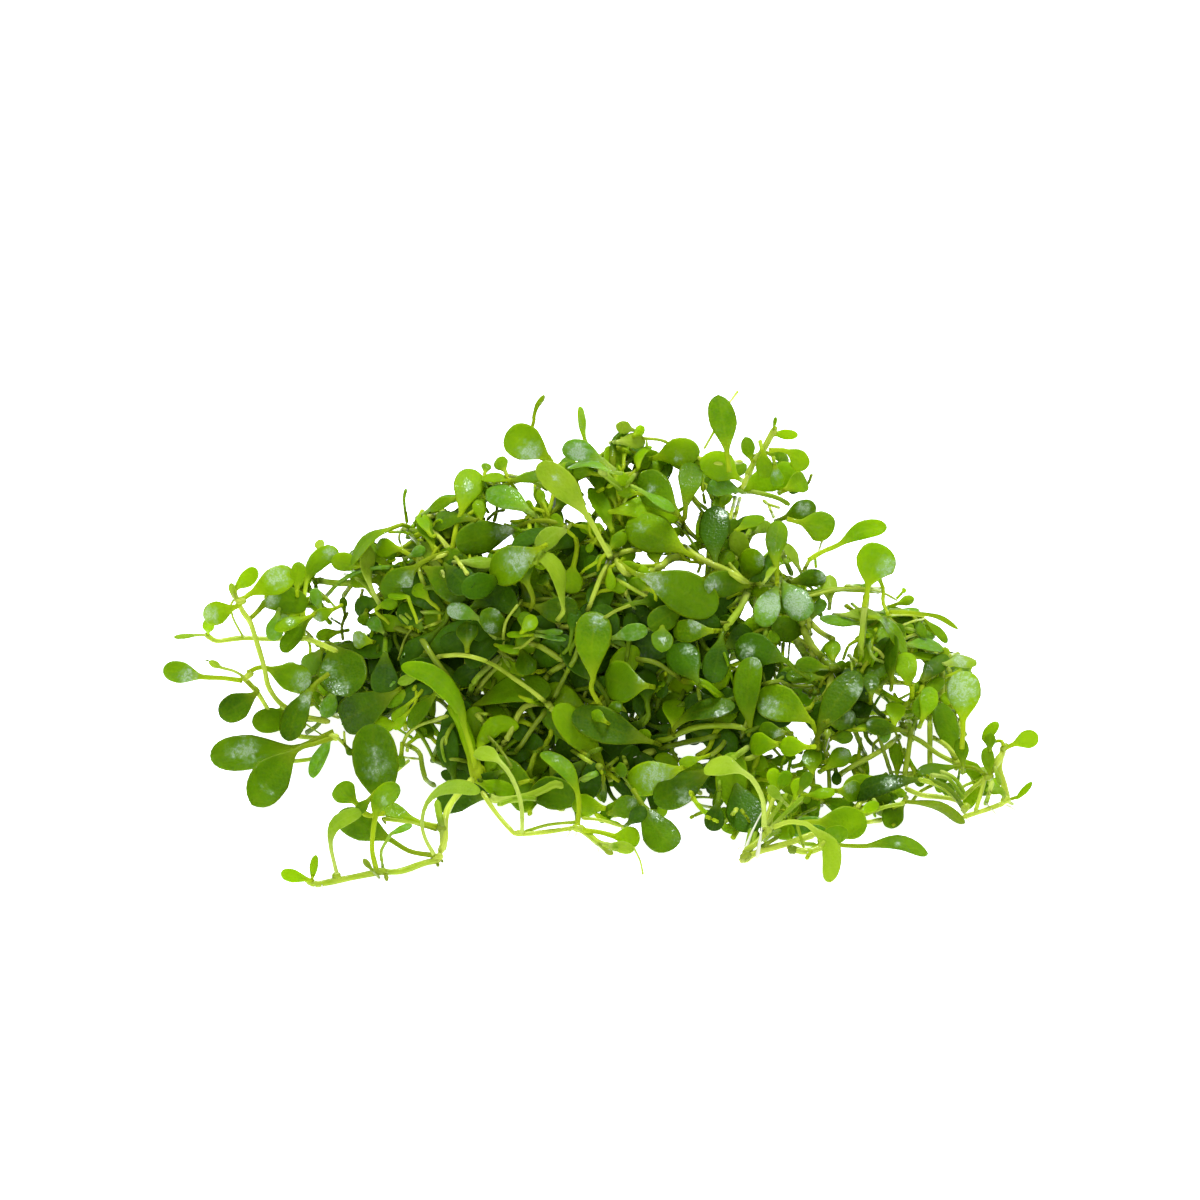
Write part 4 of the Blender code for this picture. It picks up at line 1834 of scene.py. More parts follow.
    def _pair_leaf(self, joint: Array, out: Array, way: Array, side: int) -> None:
        """Builds one leaf of a pair.

        Args:
            joint: Where it grows.
            out: The way out of the heap.
            way: The runner's direction.
            side: Which of the two it is.
        """
        chance = self.chance
        up = np.array([0, 0, 1.0])
        aside = np.cross(out, way) * side
        for _ in range(3):
            start = unit(
                aside * chance.uniform(0.3, 1)
                + way * chance.normal(0, 0.5)
                + out * chance.uniform(0.2, 1.2)
                + up * chance.uniform(0, 0.6)
            )
            length = chance.uniform(*self.BLADE)
            width = length / chance.uniform(*self.LENGTH_TO_WIDTH)
            stalk = chance.uniform(*self.STALK)
            end = unit(start + chance.normal(0, 0.35, 3) + aside * 0.3)
            neck = joint + start * stalk
            tip = neck + end * length
            spot, skin = self.heap.carriers.mound.find_nearest(Vector(tip))[:2]
            over = (tip - np.array(spot)) @ np.array(skin) - chance.uniform(-0.4, 0.9)
            if over > 0:
                tip = tip - np.array(skin) * over
                neck = neck - np.array(skin) * over * 0.45
            tip[2], neck[2] = max(tip[2], self.LOWEST), max(neck[2], self.LOWEST)
            middle = (neck + tip) / 2 + out * chance.uniform(0.1, 0.6)
            facing = out * chance.uniform(0.3, 1) + up * chance.uniform(0.3, 1)
            facing = unit(facing + chance.normal(0, 0.35, 3))
            bend = (joint + neck) / 2 + chance.normal(0, 0.15, 3)
            spine = np.array([joint, bend, neck, middle, tip])
            share = stalk / (stalk + length)
            path = smooth_path(spine, 11)
            if not self.fits(path):
                continue
            tissue, tone = self.tissue(0.45), chance.random()
            cup, wave = chance.uniform(-0.2, 0.35), chance.uniform(0, 0.08)
            twist, phase = math.radians(chance.uniform(-20, 20)), chance.uniform(0, 6.28)
            leaf = Leaf(path, share, width, facing, tissue, tone, cup, wave, twist)
            leaf.stations, leaf.around, leaf.phase = 16, 10, phase
            loft = leaf.loft()
            if self.fits(loft.rings):
                spot = loft.rings[chance.integers(9, 14), 2]
                # Some leaves get a spot of clear coat and painted sheen: a painted highlight.
                if chance.random() < 0.25:
                    away = np.linalg.norm(loft.rings - spot, axis=-1) / (0.3 * width)
                    loft.film = film_at(away) * (1 - loft.under)
                self.heap.join(loft)
                return


# Shoots along the skin and deeper: how many are tried, and how far inside they run.
SHOOTS = ((230, (0.6, 2.2)), (120, (2.5, 6.5)))

EDGE = """
296,600 300,580 318,552 340,556 352,548 372,532 400,530 420,512 448,500 460,478 480,464 500,460
516,468 545,470 560,462 575,452 600,450 612,442 640,430 660,440 700,440 716,448 740,462 758,450
790,452 804,470 804,496 788,506 786,520 785,545 800,568 828,572 836,598 812,604 828,612 850,612
885,608 910,610 940,640 968,662 976,690 966,722 964,745 972,765 990,760 1000,790 966,812 930,802
900,806 880,828 850,835 820,850 790,845 750,838 720,828 690,800 640,828 600,822 570,812 520,806
480,800 440,800 430,780 425,745 400,738 384,745 384,790 372,796 350,730 330,722 312,706 306,670
298,650
"""

CORE = """
392,640 420,600 436,572 470,560 500,548 560,520 600,560 610,590 660,590 700,590 735,600 750,640
800,680 850,672 872,690 870,730 800,735 750,760 740,800 700,795 640,790 560,790 480,785 440,770
420,720 400,700 330,700 320,665 360,645
"""

OPENINGS = """
318,570,327,577 327,563,343,577 320,585,331,595 329,589,345,600 346,587,358,593 352,593,359,599
361,592,366,596 318,595,324,601 325,601,334,607 335,607,343,613 336,617,343,624 348,602,357,609
306,613,317,620 308,623,337,637 346,615,366,637 296,641,308,662 310,671,318,682 388,633,401,640
396,622,402,626 406,640,413,650 379,553,388,557 393,560,405,565 411,558,419,563 391,538,402,546
403,538,414,547 354,580,360,584 490,468,508,479 508,456,530,472 509,481,515,488 516,480,531,498
539,479,548,485 546,488,553,497 483,503,502,519 490,514,504,524 506,510,520,518 515,514,528,524
529,525,542,528 563,505,572,525 573,503,585,519 580,475,589,488 583,488,591,512 509,530,514,537
502,536,508,544 498,542,505,549 477,550,490,557 593,510,601,526 623,460,637,471 670,467,680,487
675,483,683,512 698,490,706,500 686,505,698,529 707,475,738,487 703,501,716,506 727,498,750,521
645,440,662,449 735,551,748,562 742,492,772,516 775,490,791,499 775,500,787,517 752,537,765,556
782,560,790,575 840,594,862,608 868,590,885,608 808,628,826,652 826,628,858,642 842,638,858,654
790,646,801,666 836,654,846,663 811,649,821,666 740,657,746,665 791,686,804,694 807,695,815,703
788,722,797,731 799,733,813,746 824,729,833,739 831,740,841,748 845,740,856,749 862,734,878,752
873,759,885,770 792,761,802,772 759,767,777,785 818,771,826,788 832,771,856,792 878,698,887,718
883,684,906,694 889,675,905,682 914,656,928,672 904,668,922,682 917,721,931,739 937,731,949,746
935,745,949,756 902,732,911,748 912,741,929,765 932,751,949,765 884,739,893,769 904,789,926,801
925,792,946,801 948,769,957,781 961,771,969,783 386,730,403,745 402,743,421,758 402,757,425,800
429,700,447,708 436,710,441,716 429,762,440,766 430,771,437,779 331,738,352,800 450,630,456,640
455,617,460,621 436,597,440,603 486,598,490,602 586,785,594,791 611,787,619,793 600,802,606,808
681,752,689,758 693,786,701,794 701,797,709,803 595,548,603,556 621,541,626,547 633,544,641,548
636,554,647,560 641,551,651,556 627,565,635,571 614,567,620,574 611,580,616,584 621,595,626,601
613,613,626,623 664,575,670,580 672,575,683,583 676,563,708,573 694,577,703,585 713,597,719,603
679,745,696,760 693,788,703,793 611,788,618,800 740,603,753,621 789,648,802,662 791,688,803,693
774,629,786,637 836,654,845,663 820,625,850,655 727,650,735,657 733,657,745,665 788,723,795,731
759,768,776,784 792,762,800,770 818,772,825,787 833,770,855,800 830,740,840,747 845,740,855,748
855,735,877,750 868,762,880,770 626,461,634,469 671,474,679,482 680,497,686,503 622,540,628,546
587,502,593,508
"""

TRACING = """
far_left: 238,680 222,678|203,677 183,673 163,669|1.8 g 5 *188,676,10
left_upper: 251,671 257,668|266,668 288,676 311,682|2.4 g 5 *303,681,12
left_middle: 250,684 253,687|257,692 239,705 220,717|2.3 d 5
left_hanging: 326,676 319,681|314,686 297,712 288,741|2.3 d 5 *306,700,9
left_large: 330,733 312,741|297,747 256,752 210,756|3.0 d 5 *247,750,14 *232,752,8
left_pale: 332,738 314,744|297,750 270,778 252,805|3.3 d 4 *268,790,6
left_round: 241,603 238,605|235,607 219,612 203,616|1.95 g 5 *210,615,10
left_glossy: 241,599 246,597|250,594 272,583 294,572|2.3 g 5 *277,576,13
front_left_low: 431,855 412,852 400,846|391,840 364,827 337,815|2.5 d 5
front_left_folded: 336,870 334,862|331,848 331,835 336,824 347,817 362,811|1.2 p 5
front_left_upright: 375,864 372,850 373,832|375,820 380,802 399,785|2.2 g 6 *384,800,5
front_left_arched: 432,851 425,838|422,822 427,802 441,788 460,786 480,792|1.3 p 6
front_left_lobed: 380,814 366,815|356,803 346,794 337,785|2.0 g 5
front_middle_arched: 522,828 522,812 519,795 511,776|500,762 488,755 475,751|1.5 p 6
front_middle_bright: 578,821 579,808|578,795 573,782 561,767 541,753|1.8 g 6
front_hanging: 635,793 638,798|641,803 655,827 673,849|2.85 d 5 *655,815,7
front_right_curved: 764,823 764,810 762,797 755,783|745,773 724,766 704,769|2.0 p 6
front_right_tip: 777,826 788,822 803,823|812,828 830,848 830,882|1.8 o 6
front_right_wide: 800,823 808,822|817,822 842,822 867,826|2.7 g 5
front_right_spear: 822,841 840,845 856,846|866,846 900,842 928,854|1.6 d 6 *900,843,4
right_trailing: 896,806 903,803|910,802 940,806 965,823|1.6 d 5
right_end: 1008,747 1010,746|1012,745 1024,740 1038,735|1.6 g 5
right_glossy: 962,745 963,733|963,722 964,697 962,671|2.85 g 5 *961,687,20
right_narrow: 894,612 905,612|915,613 938,617 958,629|1.5 g 5
upper_right_large: 865,603 867,595|868,587 874,566 887,547|3.4 b 5 *888,568,12
upper_right_spear: 812,558 826,550|838,545 862,531 887,527|1.7 b 5
top_tall: 729,468 728,460|727,452 724,424 718,395|2.3 g 5
top_right_round: 773,450 780,450|786,451 797,457 805,470|1.7 g 5
top_right_broad: 791,520 795,521|799,522 817,525 833,532|2.6 g 5
top_left_round: 554,470 552,465|549,459 530,446 506,433|3.0 g 5 *530,452,13
top_left_long: 608,553 598,535|588,517 566,489 538,464|2.3 o 7 *556,478,6
top_left_blade: 533,424 534,420|534,416 537,406 544,395|1.3 g 5
top_narrow: 588,448 587,444|585,440 581,424 579,407|1.3 b 5
top_glossy: 612,468 607,464|602,460 583,451 562,449|1.8 s 5 *578,452,9
left_top: 334,650 303,638 270,639 243,638 217,641 208,636|0.52 r 4
left_upper: 233,588 236,598 243,612 250,622 256,640 264,667 269,688 283,706 303,716 326,721|0.54 r 4
left_lower: 244,679 257,692 266,706 278,725 298,736 333,738|0.48 r 4
front_left: 309,881 316,884 338,880 358,876 379,872 400,871 424,863 437,860|0.64 r 5
front_left_rise: 441,850 445,838 445,828 447,811 458,794 470,782|0.64 r 5
front_left_branch: 437,826 422,823 403,821 386,819|0.48 r 5
front_middle: 484,795 491,806 500,818 510,829 518,834 545,832 574,828|0.48 r 5
front_middle_end: 582,830 590,836 599,843 614,847|0.64 r 5
cut_end: 743,860 760,851 785,844 812,835|0.64 r 5
cut_side: 746,851 757,842 768,830 770,816|0.64 r 5
front_fork: 791,848 797,850 808,852 822,847|0.64 r 5
right_low: 966,816 985,810 1001,804|0.48 r 5
right_rise: 1007,797 1003,782 999,768 1003,751|0.64 r 5
right_inner: 988,777 975,786 963,797|0.48 r 5
right_back: 963,808 955,797 940,786 922,780|0.48 r 5
top_sprig: 748,475 754,462 763,450 770,437 774,430|0.64 r 5
# joints that stand clear of the heap
432,859 443,855|9 r 6.5 j
437,828 446,830|8 t 6.5 j
332,877 341,876|9 r 6.5 j
371,871 388,871|8 r 6.5 j
515,833 525,833|7 r 6.5 j
572,827 585,830|9 r 6.5 j
608,846 619,848|8 p 6.5 j
741,860 750,852|10 t 6.5 j
788,849 797,850|9 t 6.5 j
819,847 827,841|7 r 6.5 j
962,812 969,804|9 r 6.5 j
1001,802 1010,798|9 r 6.5 j
985,779 993,774|8 r 6.5 j
1001,751 1008,744|8 r 6.5 j
236,603 246,600|8 r 6.5 j
245,678 253,672|8 r 6.5 j
329,736 339,738|9 r 6.5 j
772,436 776,430|7 r 6.5 j
# left sprigs
244,677,-7 234,671,-7 222,668,-7.2|220,667,-7.2 209,661,-7.4|7 p 5
209,661,-7.4 205,660,-7.4|2 t 5
303,719,-4.5 297,716,-5|290,714,-6 272,720,-7 252,722,-7.8|25 d 3
335,738,-3.6 331,739,-4|328,741,-4.4 320,760,-6 313,778,-7.6|15 s 5
285,762,-5 306,760,-5 320,757,-5|5 p 3
208,634,-3.8 208,630,-3.8|208,628,-3.9 210,618,-4|12 b 5
207,635,-3.8 200,635,-3.8|196,635,-3.8 174,637,-3.8|5 p 5
243,637,-3.3 233,618,-5 231,605,-6 236,598,-6.2|3 r 4
234,592,-6.2 236,589,-6.2|238,586,-6.2 248,578,-6 256,568,-5.8|16 b 5
233,597,-6.2 232,592,-6.2|232,591,-6.2 231,583,-6.2|6 p 5
251,618,-5.8 258,611,-5|264,604,-4.6 286,600,-3.6 308,603,-2.6|28 d 4 *272,600,8
|297,590,-4 299,562,-3|15 g 4
|278,612,-5 273,641,-6|18 s 3
|305,618,-4 290,622,-5 275,630,-5.6|14 g 4 *290,622,5
|308,620,-4 282,652,-5.5|18 d 3
303,722,-3.2 322,735,-3|2 r 5
296,736,-4.2 323,739,-3.4|3 r 5
337,737,-3 345,745,-2.8 352,752,-2.6|4 r 5
|346,747,-2.8 352,755,-2.6|7 d 5
344,731,-3 345,745,-2.8|3 r 5
# left of the heap
|320,552 319,540|10 p 3
303,617 304,604 305,592|307,578 313,565 325,555 339,553|19 b 4 *330,553,8
|362,566 346,562 331,561|19 g 4
409,527 404,525|400,525 372,538 352,565|15 g 5
382,608 376,598|372,590 365,568 370,546|14 p 4
323,600 329,593 341,581 358,572 375,568 400,567|5 s 3
315,580 335,583 357,583|8 p 2
|380,604 368,604 355,610|20 h 3
|366,612 363,625|14 d 3
452,552 435,556 425,561|421,563 403,578 387,600|32 d 5 *410,584,11
|424,567 446,582 465,600|30 d 2
392,627 413,634 422,640 434,659 450,681 464,702|7.5 t 5
392,627 386,620 379,615|375,611 381,606 398,602|12 b 5
420,634 416,618 411,606|408,597 398,596 388,595|7 b 5
397,612 405,620 413,628|5 p 5
401,609 409,617 417,625|4 p 4
421,629 434,624 447,619|4 r 5
416,613 432,612 450,614|5 p 4
|372,642 363,640 353,640|18 g 4 *357,638,8
|384,633 376,625 368,620|14 s 4
380,642 378,650 377,658|5 d 4
386,634 385,648|385,654 384,692|28 h 5
300,637 315,642 324,644|330,643 341,668 349,696|50 d 6 *330,668,9 *340,688,10
|339,632 328,634 316,637|12 g 4
343,640 342,625 348,612|4 t 4
342,625 331,618|3 t 4
342,625 345,612 345,601|3 t 4
|344,610 343,597|8 d 4
|334,609 325,613 315,619|13 g 4 *318,618,5
|321,610 317,600 314,588|12 s 4
320,592 328,599 335,607|3 p 5
|322,650 313,662 305,672|22 d 3
425,672 421,674|417,676 398,683|10 p 5
400,661 407,650|4 s 5
411,666 418,660|4 s 5
388,688 398,678|4 s 5
407,523 404,500 406,489|4 g 4
418,560 408,554|400,549 388,548 376,548|20 g 3
437,535 434,536|432,537 419,518|11 b 5
437,535 444,543 452,552|6 r 5
434,528 436,521 441,520 443,525 440,529|3 g 5
|424,514 440,503 460,499|10 s 4
|448,538 447,525 448,511|24 d 2
452,552 455,533 459,518|461,514 466,492 475,470|30 g 6 *470,486,5
401,529 399,538 402,548|3 r 4
408,531 415,540 423,550|5 t 4
|410,556 425,548|11 s 3
|334,690 330,704 325,718|17 s 4
321,697 329,708 336,715|5 r 5
|398,690 370,706 342,722|40 d 4
437,829,-22.4 413,822,-22 398,818,-22|388,812,-22 380,782,-21 374,752,-20.2 372,724,-19.6|46 d 4 *376,768,13 *372,752,7
|401,767 390,776 377,787|9 p 5
|437,692 424,708 408,727|17 d 4
450,717 428,722 413,729 404,741 401,762|4.5 r 5
|401,752 401,767|8 d 5
403,757 422,759|3 r 4
408,743 421,751 424,765 428,778 437,784|6 t 4
450,731 442,742 444,758 450,768|4 p 5
# front left
|369,799,-24.6 363,806,-24.8 357,813,-25|11 d 5
383,868,-26.2 381,852,-26 386,842,-25|391,834,-24.8 412,825,-24.4|7 s 6
382,818,-21.5 386,824,-21.5|3 t 6
313,881,L 309,880,L|306,879,L 281,873,L|13 b 6
282,879,F 274,881,F|1.6 w 6
312,880,-27.8|313,874,-27.8 316,855,-27.4|8 g 6
315,886,L 313,898,F|2 w 6
322,885,L 323,896,F|2 w 6
|373,870,-26.1 364,858,-25.6|5 t 6
385,872,-25.8 387,880,-27|5 t 6
437,861,-23.6 438,866,-24.4|4 t 6
440,858,-23.4 443,862,-24|3 t 6
440,828,-22.4 420,822,-21.6|415,820,-21.5 395,812,-21 372,806,-20.6|16 g 4
|370,800,-24 356,811,-24|10 d 4
444,850,-23.2 442,828,-22.8 439,813,-21 437,801,-19.5|8 p 4
# middle of the heap, left half
502,645 487,630 482,623|479,619 463,612 447,609|17 s 5 *455,611,8
|502,638 493,622 482,611|24 d 5 *490,628,8 *497,612,6
503,645 504,631 508,618 522,600|4 r 5
|496,645 518,653|8 g 5
502,655 487,668 474,682 468,698|7 p 5
506,660 491,673 480,686 474,699|6 r 5
503,655 508,664 514,674|5 p 5
436,657 457,655 473,657 492,664 512,677 533,692 550,706|5.5 r 7
517,675 530,684|2 w 7
546,702 553,710|8 r 7
550,706 563,680 571,665 575,658 583,630 587,612|6 t 5
550,707 546,711 532,729 522,744 514,755|6 t 5
546,704 528,705 519,713 514,725 506,740 498,750|7 r 6
517,697 531,701 545,705|6 g 6
476,760 481,743|484,738 498,724 519,727|19 b 6
478,780 470,748 462,724 452,704|15 b 6.5
478,776 470,745|466,732 457,703 433,676 401,666|21 b 7 r0
430,684 438,696 450,700|3 p 6
430,722 440,718 455,714|5 r 5
474,713 486,714 498,716|4 r 5
473,710 480,718 487,727|6 r 6
455,722 447,735 445,750|5 r 5
|474,706 498,695 520,690 551,693|28 d 4
|521,650 525,660 527,675|22 d 4
|522,632 529,624 536,617|15 g 6 *529,624,4
|528,635 507,634|7 b 5
512,650 522,647 533,638 543,633|4 r 5
|541,632 563,632|6 s 5
|540,636 553,638 566,640|5 s 5
529,643 543,648 563,661|7 t 5
545,680 551,672 569,661|7 t 6
|524,630 524,612|13 d 4
|467,648 467,621|22 d 3
548,527 541,521|536,516 512,500 487,490|25 s 5
|512,480 482,478|10 g 4
516,490 509,480|505,471 498,458|15 g 4
|512,480 545,476|12 d 4
565,527 550,521 530,522|512,530 485,536 456,545|34 d 5 *505,532,12
|475,520 455,517 433,526|16 d 4
|458,497 430,510|12 g 4
565,527|566,530 551,536 537,550|20 p 6
|556,528 534,536 512,547|16 h 5
|540,548 515,562 490,575|38 g 6 *518,560,16
557,621 563,612|563,605 556,570 540,556 530,568|12 o 6
|548,585 540,575|14 d 5
557,621 562,627 581,623|6 r 5
452,552 441,556 430,560|5 r 5
452,552 443,541 433,530|5 r 5
452,552 460,564 468,575|5 r 5
|460,562 495,562|14 p 3
|446,566 470,590|30 h 3
|500,578 462,592|26 h 3
487,520 496,512 505,510|4 t 4
# front middle
524,832,L 548,825,-18 577,822,-17.6|4 r 6
485,796 500,800 525,797 545,789 556,784 572,788|9 p 5
|524,797 550,792 575,798|33 d 3
|487,796 462,797 437,804|27 h 4
|478,782 496,788 515,793|18 b 4
600,843,L|612,845,L 634,850,F|12 p 6
584,830,-18 600,832,-18|614,836,-18.6 640,838,-18.8|22 g 5
582,818,-17 600,820,-17 618,825,-17.6 628,828,-18|4 r 5
633,846,-20 640,860,F 643,874,F|2.5 r 6
|603,848,L 613,854,F|6 t 6
572,828,L 566,839,F|2 w 6
576,830,L 576,839,F|2 w 6
597,848,L 590,861,F|2 w 6
598,848,L 600,858,F|2 w 6
|605,808 590,806 572,806|24 g 4
|611,812 625,806 638,802|22 d 5 *632,802,5
|628,822 645,806|16 h 2
|682,768 656,776 628,786|34 g 5 *655,776,17
|712,770 684,786 655,803|34 d 6 *685,797,10
|718,802,-17.5 712,831,-18.5|20 h 5
# middle of the heap
611,559 607,549 601,540|9 p 5
613,557 627,551 642,550|6 r 5
616,560 623,570 631,576|8 r 5
609,561 600,579 587,613|6 r 6
648,573 662,566 669,559 681,557|9 r 5
683,546 698,557 714,565 730,572 748,584|8 r 6
616,560 625,567|634,573 675,588 717,610|44 d 4 *652,585,14
|683,606 649,628|26 d 3
|662,627 662,652|22 d 4 *662,640,4
|713,631 673,631|23 g 5 *696,624,9
749,589 741,607 726,628|722,635 717,660 712,683|27 h 5
749,589 741,607 726,628 722,635|8 p 6
|698,682 686,662 673,645|34 h 5 *689,650,6
601,707 595,697 591,688|593,679 592,645 596,612|37 g 7 r0 *596,622,8
|613,638 630,633 648,630|17 s 5
|648,686 626,684 605,676|42 d 5 *642,677,7
666,672 665,681 660,687 653,692|5 g 6
631,658 654,662 668,670 684,681|6 t 5
683,680 703,683 716,693 724,700|9 g 5
|610,570 611,590|11 g 4
626,589 626,597|4 r 5
616,579 637,591 652,600|5 r 4
|748,586 726,584 704,585|27 d 4 *712,584,9
|674,727 673,700|22 b 4 r0
674,736 674,730|675,727 693,714 735,705|19 d 6 *720,714,7
651,741 668,739 681,733 699,727 730,726 752,730|7 r 5
658,749 683,743 703,739 724,734|7 t 4
658,750 641,755|8 r 5
641,754 629,760|2 w 5
723,735 724,743 714,753 701,758|6 r 5
|701,758 679,764|11 g 5
|652,742 612,730 573,712|34 d 6
621,782 606,771|600,760 580,735 556,705|30 g 5 *580,722,8
|606,722 592,712|12 g 6.2
|606,713 622,704|12 d 5 *618,706,3
|633,735 651,735|12 g 4
570,749 585,759 596,766|5 r 5
579,782 590,776 604,771|8 s 5
606,768 617,759 620,756|5 r 5
623,755 628,769|5 r 5
596,766 603,768|8 t 5
|614,770 627,770|15 d 3
# top
704,449 716,428|3 r 6
727,406 738,391|3 r 6
753,462,2.6|750,456,2.4 745,437,1.8|14 g 5
742,489,2 748,475,2.2|6 r 5
|774,427,3.4 776,417,3.4|3.5 g 5
774,435,3.4|778,434,3.4 798,435,3|10 b 5
|762,450,2.6 766,478,2|17 g 5
|775,466,2.4 778,487,2|14 b 5 *777,474,6
735,492|742,488 770,478 800,470|28 b 3
745,490 775,497 790,505|6 p 5
|785,490 796,484 806,480|22 g 4
|738,478 720,466 700,460|30 b 4
|742,492 726,486 708,492|16 s 5
735,498 731,515 729,525|5 r 5
740,498 737,510 734,522|5 r 5
|715,562 714,534 716,506|30 h 6 *723,513,7
|737,530 750,523 762,516|14 b 4
|755,533 770,523|12 p 3
763,500 768,504 780,508|4 r 5
768,504 774,518|4 r 5
|745,562 735,531|20 o 3
|612,472 590,464 568,468|9 s 5
600,470 611,480 622,490|8 p 5
637,472 630,481 623,490|6 p 5
|638,468 640,455 650,446|10 b 5
612,448 625,450 637,460|5 g 5
612,475 613,450 615,440 630,428|8 d 4
|633,430 616,425|13 p 5
|634,436 644,427|10 b 5
|617,442 645,440|16 p 4
642,438 660,440 668,443|4 r 5
|655,458 678,452 700,452|28 g 4 *678,457,5
|706,468 690,460 672,450|28 g 2
|661,480 640,477|16 g 5 *650,476,7
|678,515 658,494 640,475|35 d 5 *650,490,6
682,535 685,515|686,500 690,482 692,463|25 d 6
|612,530 600,508 592,488|20 b 4
|610,512 645,508 680,514|27 b 4
702,563 698,560|693,557 660,537 627,522|41 g 7 *640,527,7
|640,490 656,500 675,510|9 s 5
# middle of the heap, right half
743,582|745,578 751,564 757,550|27 g 5 *762,560,8
|765,581 776,565|5 p 4
777,588 777,576|777,570 775,548 780,521|22 g 5.5 r0
782,552 787,564 792,575|6 p 5
|800,570 792,556 784,543|10 p 5
802,576 812,557 833,548 849,540|5 r 4
|791,582 810,578 826,577|18 d 5 *822,577,7
|830,602 829,588 830,575|16 p 4
749,584 775,584 790,578|5 t 5
726,560 740,576 749,585|5 r 5
|778,585 768,606 762,627|26 s 5 *770,605,12
|782,582 795,600 808,618|30 s 5 *797,602,14
|812,618 824,600|12 s 4
|805,632 788,630 772,622|26 d 4
807,618 818,630 834,640|7 r 5
802,620 807,638 818,653 826,662|9 r 5
808,620 810,632|5 r 5
806,646 819,664|5 r 5
|833,661 832,640|17 g 4
795,640 802,650 808,662|9 p 4
790,640 788,661|3 t 4
|860,624 840,620 820,619|13 s 5
|842,615 880,615|15 p 3
866,598 863,620 861,650 862,658|7 p 6
805,597 822,592 841,589 864,590 880,591|7 r 4
845,586 865,585|4 s 5
818,686 807,677 795,669|787,661 762,652 735,645|34 h 5 *748,650,9
|826,668 810,665 795,665|16 d 5 *824,674,6
|822,678 786,677|12 d 4
749,735|750,726 748,692 753,657|26 d 7 *757,662,8
759,686 777,681 792,686 818,687|5 t 6
777,681 784,686|1.6 w 6
824,662 838,670|10 t 5
832,672 838,681|2 w 5
831,672 829,689 820,700|8 r 5
848,655 855,660 862,665|4 r 5
820,745 815,730|812,722 785,706 757,697|37 g 6 *770,708,13
|785,733 759,730|18 d 4 *778,735,6
|778,744 750,744|23 b 6
750,746 740,753 733,758|7 p 6
|808,747 780,746|20 b 6
|812,774 812,751|20 b 6 *805,760,6
|826,768 838,759 849,750|20 b 6 *845,753,7
818,750 817,740|820,728 838,700 858,672|30 d 6 *856,690,9
|826,722 856,719|23 d 4 *850,716,6
|831,738 853,737|13 d 4
|899,730 882,727 866,723|17 d 5 *869,723,4
|897,774 897,758 893,742|14 g 4.5
878,733 884,752 892,776|5 t 4.5
|871,697 871,674|17 d 4 *871,684,3
|827,739 828,729|7 t 6
829,738 827,747 824,755|2 w 6
811,738 811,748|2 w 6
838,776 853,766 880,751 900,736|6.5 r 5
852,724 858,738 866,758|6 t 4.5
828,753 829,776 830,800|5 t 5
|836,770 837,785|10 d 4
|880,778 862,786 843,792|26 g 3
# front right
743,861,L 748,845,-21.6 752,822,-18.6|7 p 5
747,861,L 752,845,-21.4 757,824,-18.6|6 p 5
757,850,L 768,843,-22 778,837,-21|5 t 5
736,850,F 745,845,-22|3 w 5
757,858,L 760,840,-22.6 762,826,-20.8|5 w 5
765,829,-21.4 771,831,-21.2|9 r 6
763,830,-21.2 775,812,-20.6 787,793,-20|5 p 6
766,833,-21.4 784,815,-21 803,797,-20.4|5 p 6
745,851,-22.6 752,832,-21.4 762,812,-20.4|4 w 6
719,776 720,792|4 p 5
765,825,-20.8 770,808,-20 777,790,-19|5 r 6
785,815,-20.4 795,800,-19.5 800,790,-19|5 r 6
|777,790,-19 772,768,-18.6|14 b 6
|778,790,-19.2 789,771,-18.8|13 b 6
|795,798,-19.4 800,778,-19|14 b 6
|800,792,-19.2 810,772,-18.6|12 d 6
|782,800,-19.6 768,786,-19.4|10 p 6
808,852,L 808,859,F|3 w 6
797,825,-20.6 800,835,-21 804,848,L|4 r 6
|735,782 743,806 752,832|38 h 3
|807,795 835,792|10 b 5
|800,765 813,758 825,757|20 b 5 *815,757,7
|825,762 848,757|17 b 5 *840,757,6
795,818 808,811 822,805|4 t 5
822,802 833,806|3 t 5
|838,791 860,791|22 g 4 *850,788,7
# right
965,812,-15 955,795,-14.8 940,783,-14.6 922,780,-14.2|915,780,-14 880,784,-13.6 850,795,-13.4|20 h 5 *890,783,8
985,775 975,768 958,767|952,767 934,770 917,773|11 d 5
|903,803 894,814 885,826|22 d 4
863,815,-17 885,807,-16.6 905,803,-16.2|5 r 5
1003,745,-11 1001,741,-11|990,742,-11 985,738,-10.8 998,722,-10.4|10 g 6
|990,750,-11.2 990,733,-10.8|11 d 6
|990,775,-11.6 988,760,-11 987,747,-10.6|13 g 5
|995,768,-11.2 1000,785,-11.8|5 p 5
1008,800,-12 1014,798,-12|1018,797,-12 1032,782,-11.6|7 g 5
|1005,800,-12.2 1000,790,-12 985,790,-12|8 p 5
968,820,L 973,825,F 990,828,F 1000,826,F|2 w 5
985,802,-12.6 995,813,L 1000,821,F|2 w 5
1006,805,L 1015,810,F 1028,822,F|2 w 5
966,812,-15.4 958,801,-15 941,797,-14.8 922,795,-14.4 905,788,-14|6 r 5
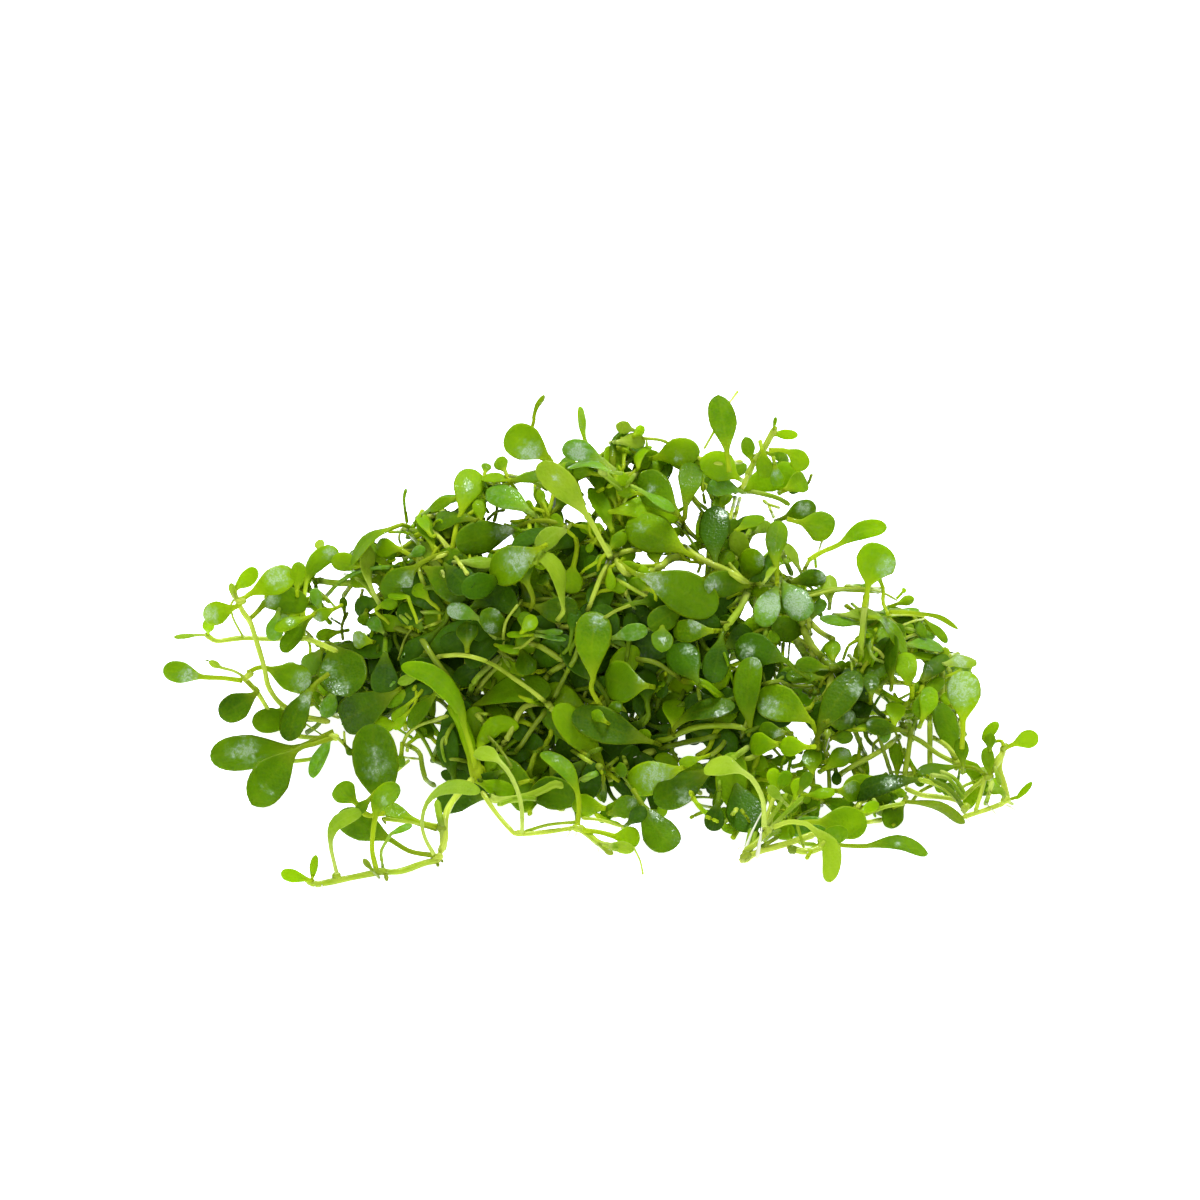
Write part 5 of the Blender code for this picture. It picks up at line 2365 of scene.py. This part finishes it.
975,812,-14.6 982,790,-13 985,777,-12|5 r 5
932,784 930,760 930,740 930,715|6.5 r 4
906,786 905,775 908,755 912,726|6.5 r 4
906,734 922,742 938,754 958,764|6 r 5
932,737 947,746 961,764|6 r 5
930,775,-13.6 947,778,-14 956,788,-14.4 963,799,-14.8|5 p 5
940,771,-13.4 954,778,-13.8 965,794,-14.5|5 p 5
988,776,-11.8 996,764,-11.4 1003,752,-11|9 r 4.5
901,723 906,728|7 t 5
|963,765 962,752 960,738|14 d 5
|955,760 948,731 940,703|25 d 4
|922,720 928,704 930,687|19 b 4
912,700 912,690 911,683|910,680 906,666 904,653|23 g 6
883,683 895,683 906,683|5 r 5
|894,725 896,703|20 b 4
|922,682 933,668 946,655|20 d 5
|945,664 960,661 976,661|15 p 5 *960,661,9
|905,645 923,645 942,647|13 s 5
|905,656 940,655|11 g 4
|897,604 914,598|10 g 5
|902,593 905,589|5 b 5
|925,620 936,631 947,643|9 g 5
|915,618 920,628 925,638|10 g 5
|896,624 904,632|8 d 5
|900,610 919,610|5 s 5
890,615 908,615 925,616|3 r 5
903,625 914,621 925,619|3 r 5
|892,682 891,659 892,636|13 d 5
|868,617 885,622 905,655|12 g 5 *885,625,8
888,614 883,602|884,590 875,570 863,562|10 g 6.5
845,586 865,587 885,588|2.5 r 5
805,597 840,589 875,590 897,600|3 r 5
861,650 864,620 867,592|8 p 5
816,568 815,555|4 b 5
818,553 822,541|3 r 5
|784,518 800,511 816,506|20 d 5 *804,508,8
"""


def main() -> None:
    """Builds the heap and its studio."""
    logging.basicConfig(level=logging.INFO, format="%(message)s")
    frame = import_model()
    photo = Photograph()
    heap = Heap(Relief(Carriers(frame["nodes"], photo)))
    undergrowth = Undergrowth(heap, Outline(EDGE, CORE, OPENINGS))
    traces = heap.read(TRACING)
    undergrowth.backing(traces)
    for trace in traces:
        heap.lay(trace)
    for count, inside in SHOOTS:
        undergrowth.shoots(count, inside)
    heap.build(Finishes(), frame["record"])
    Studio().build(photo)


if __name__ == "__main__":
    main()
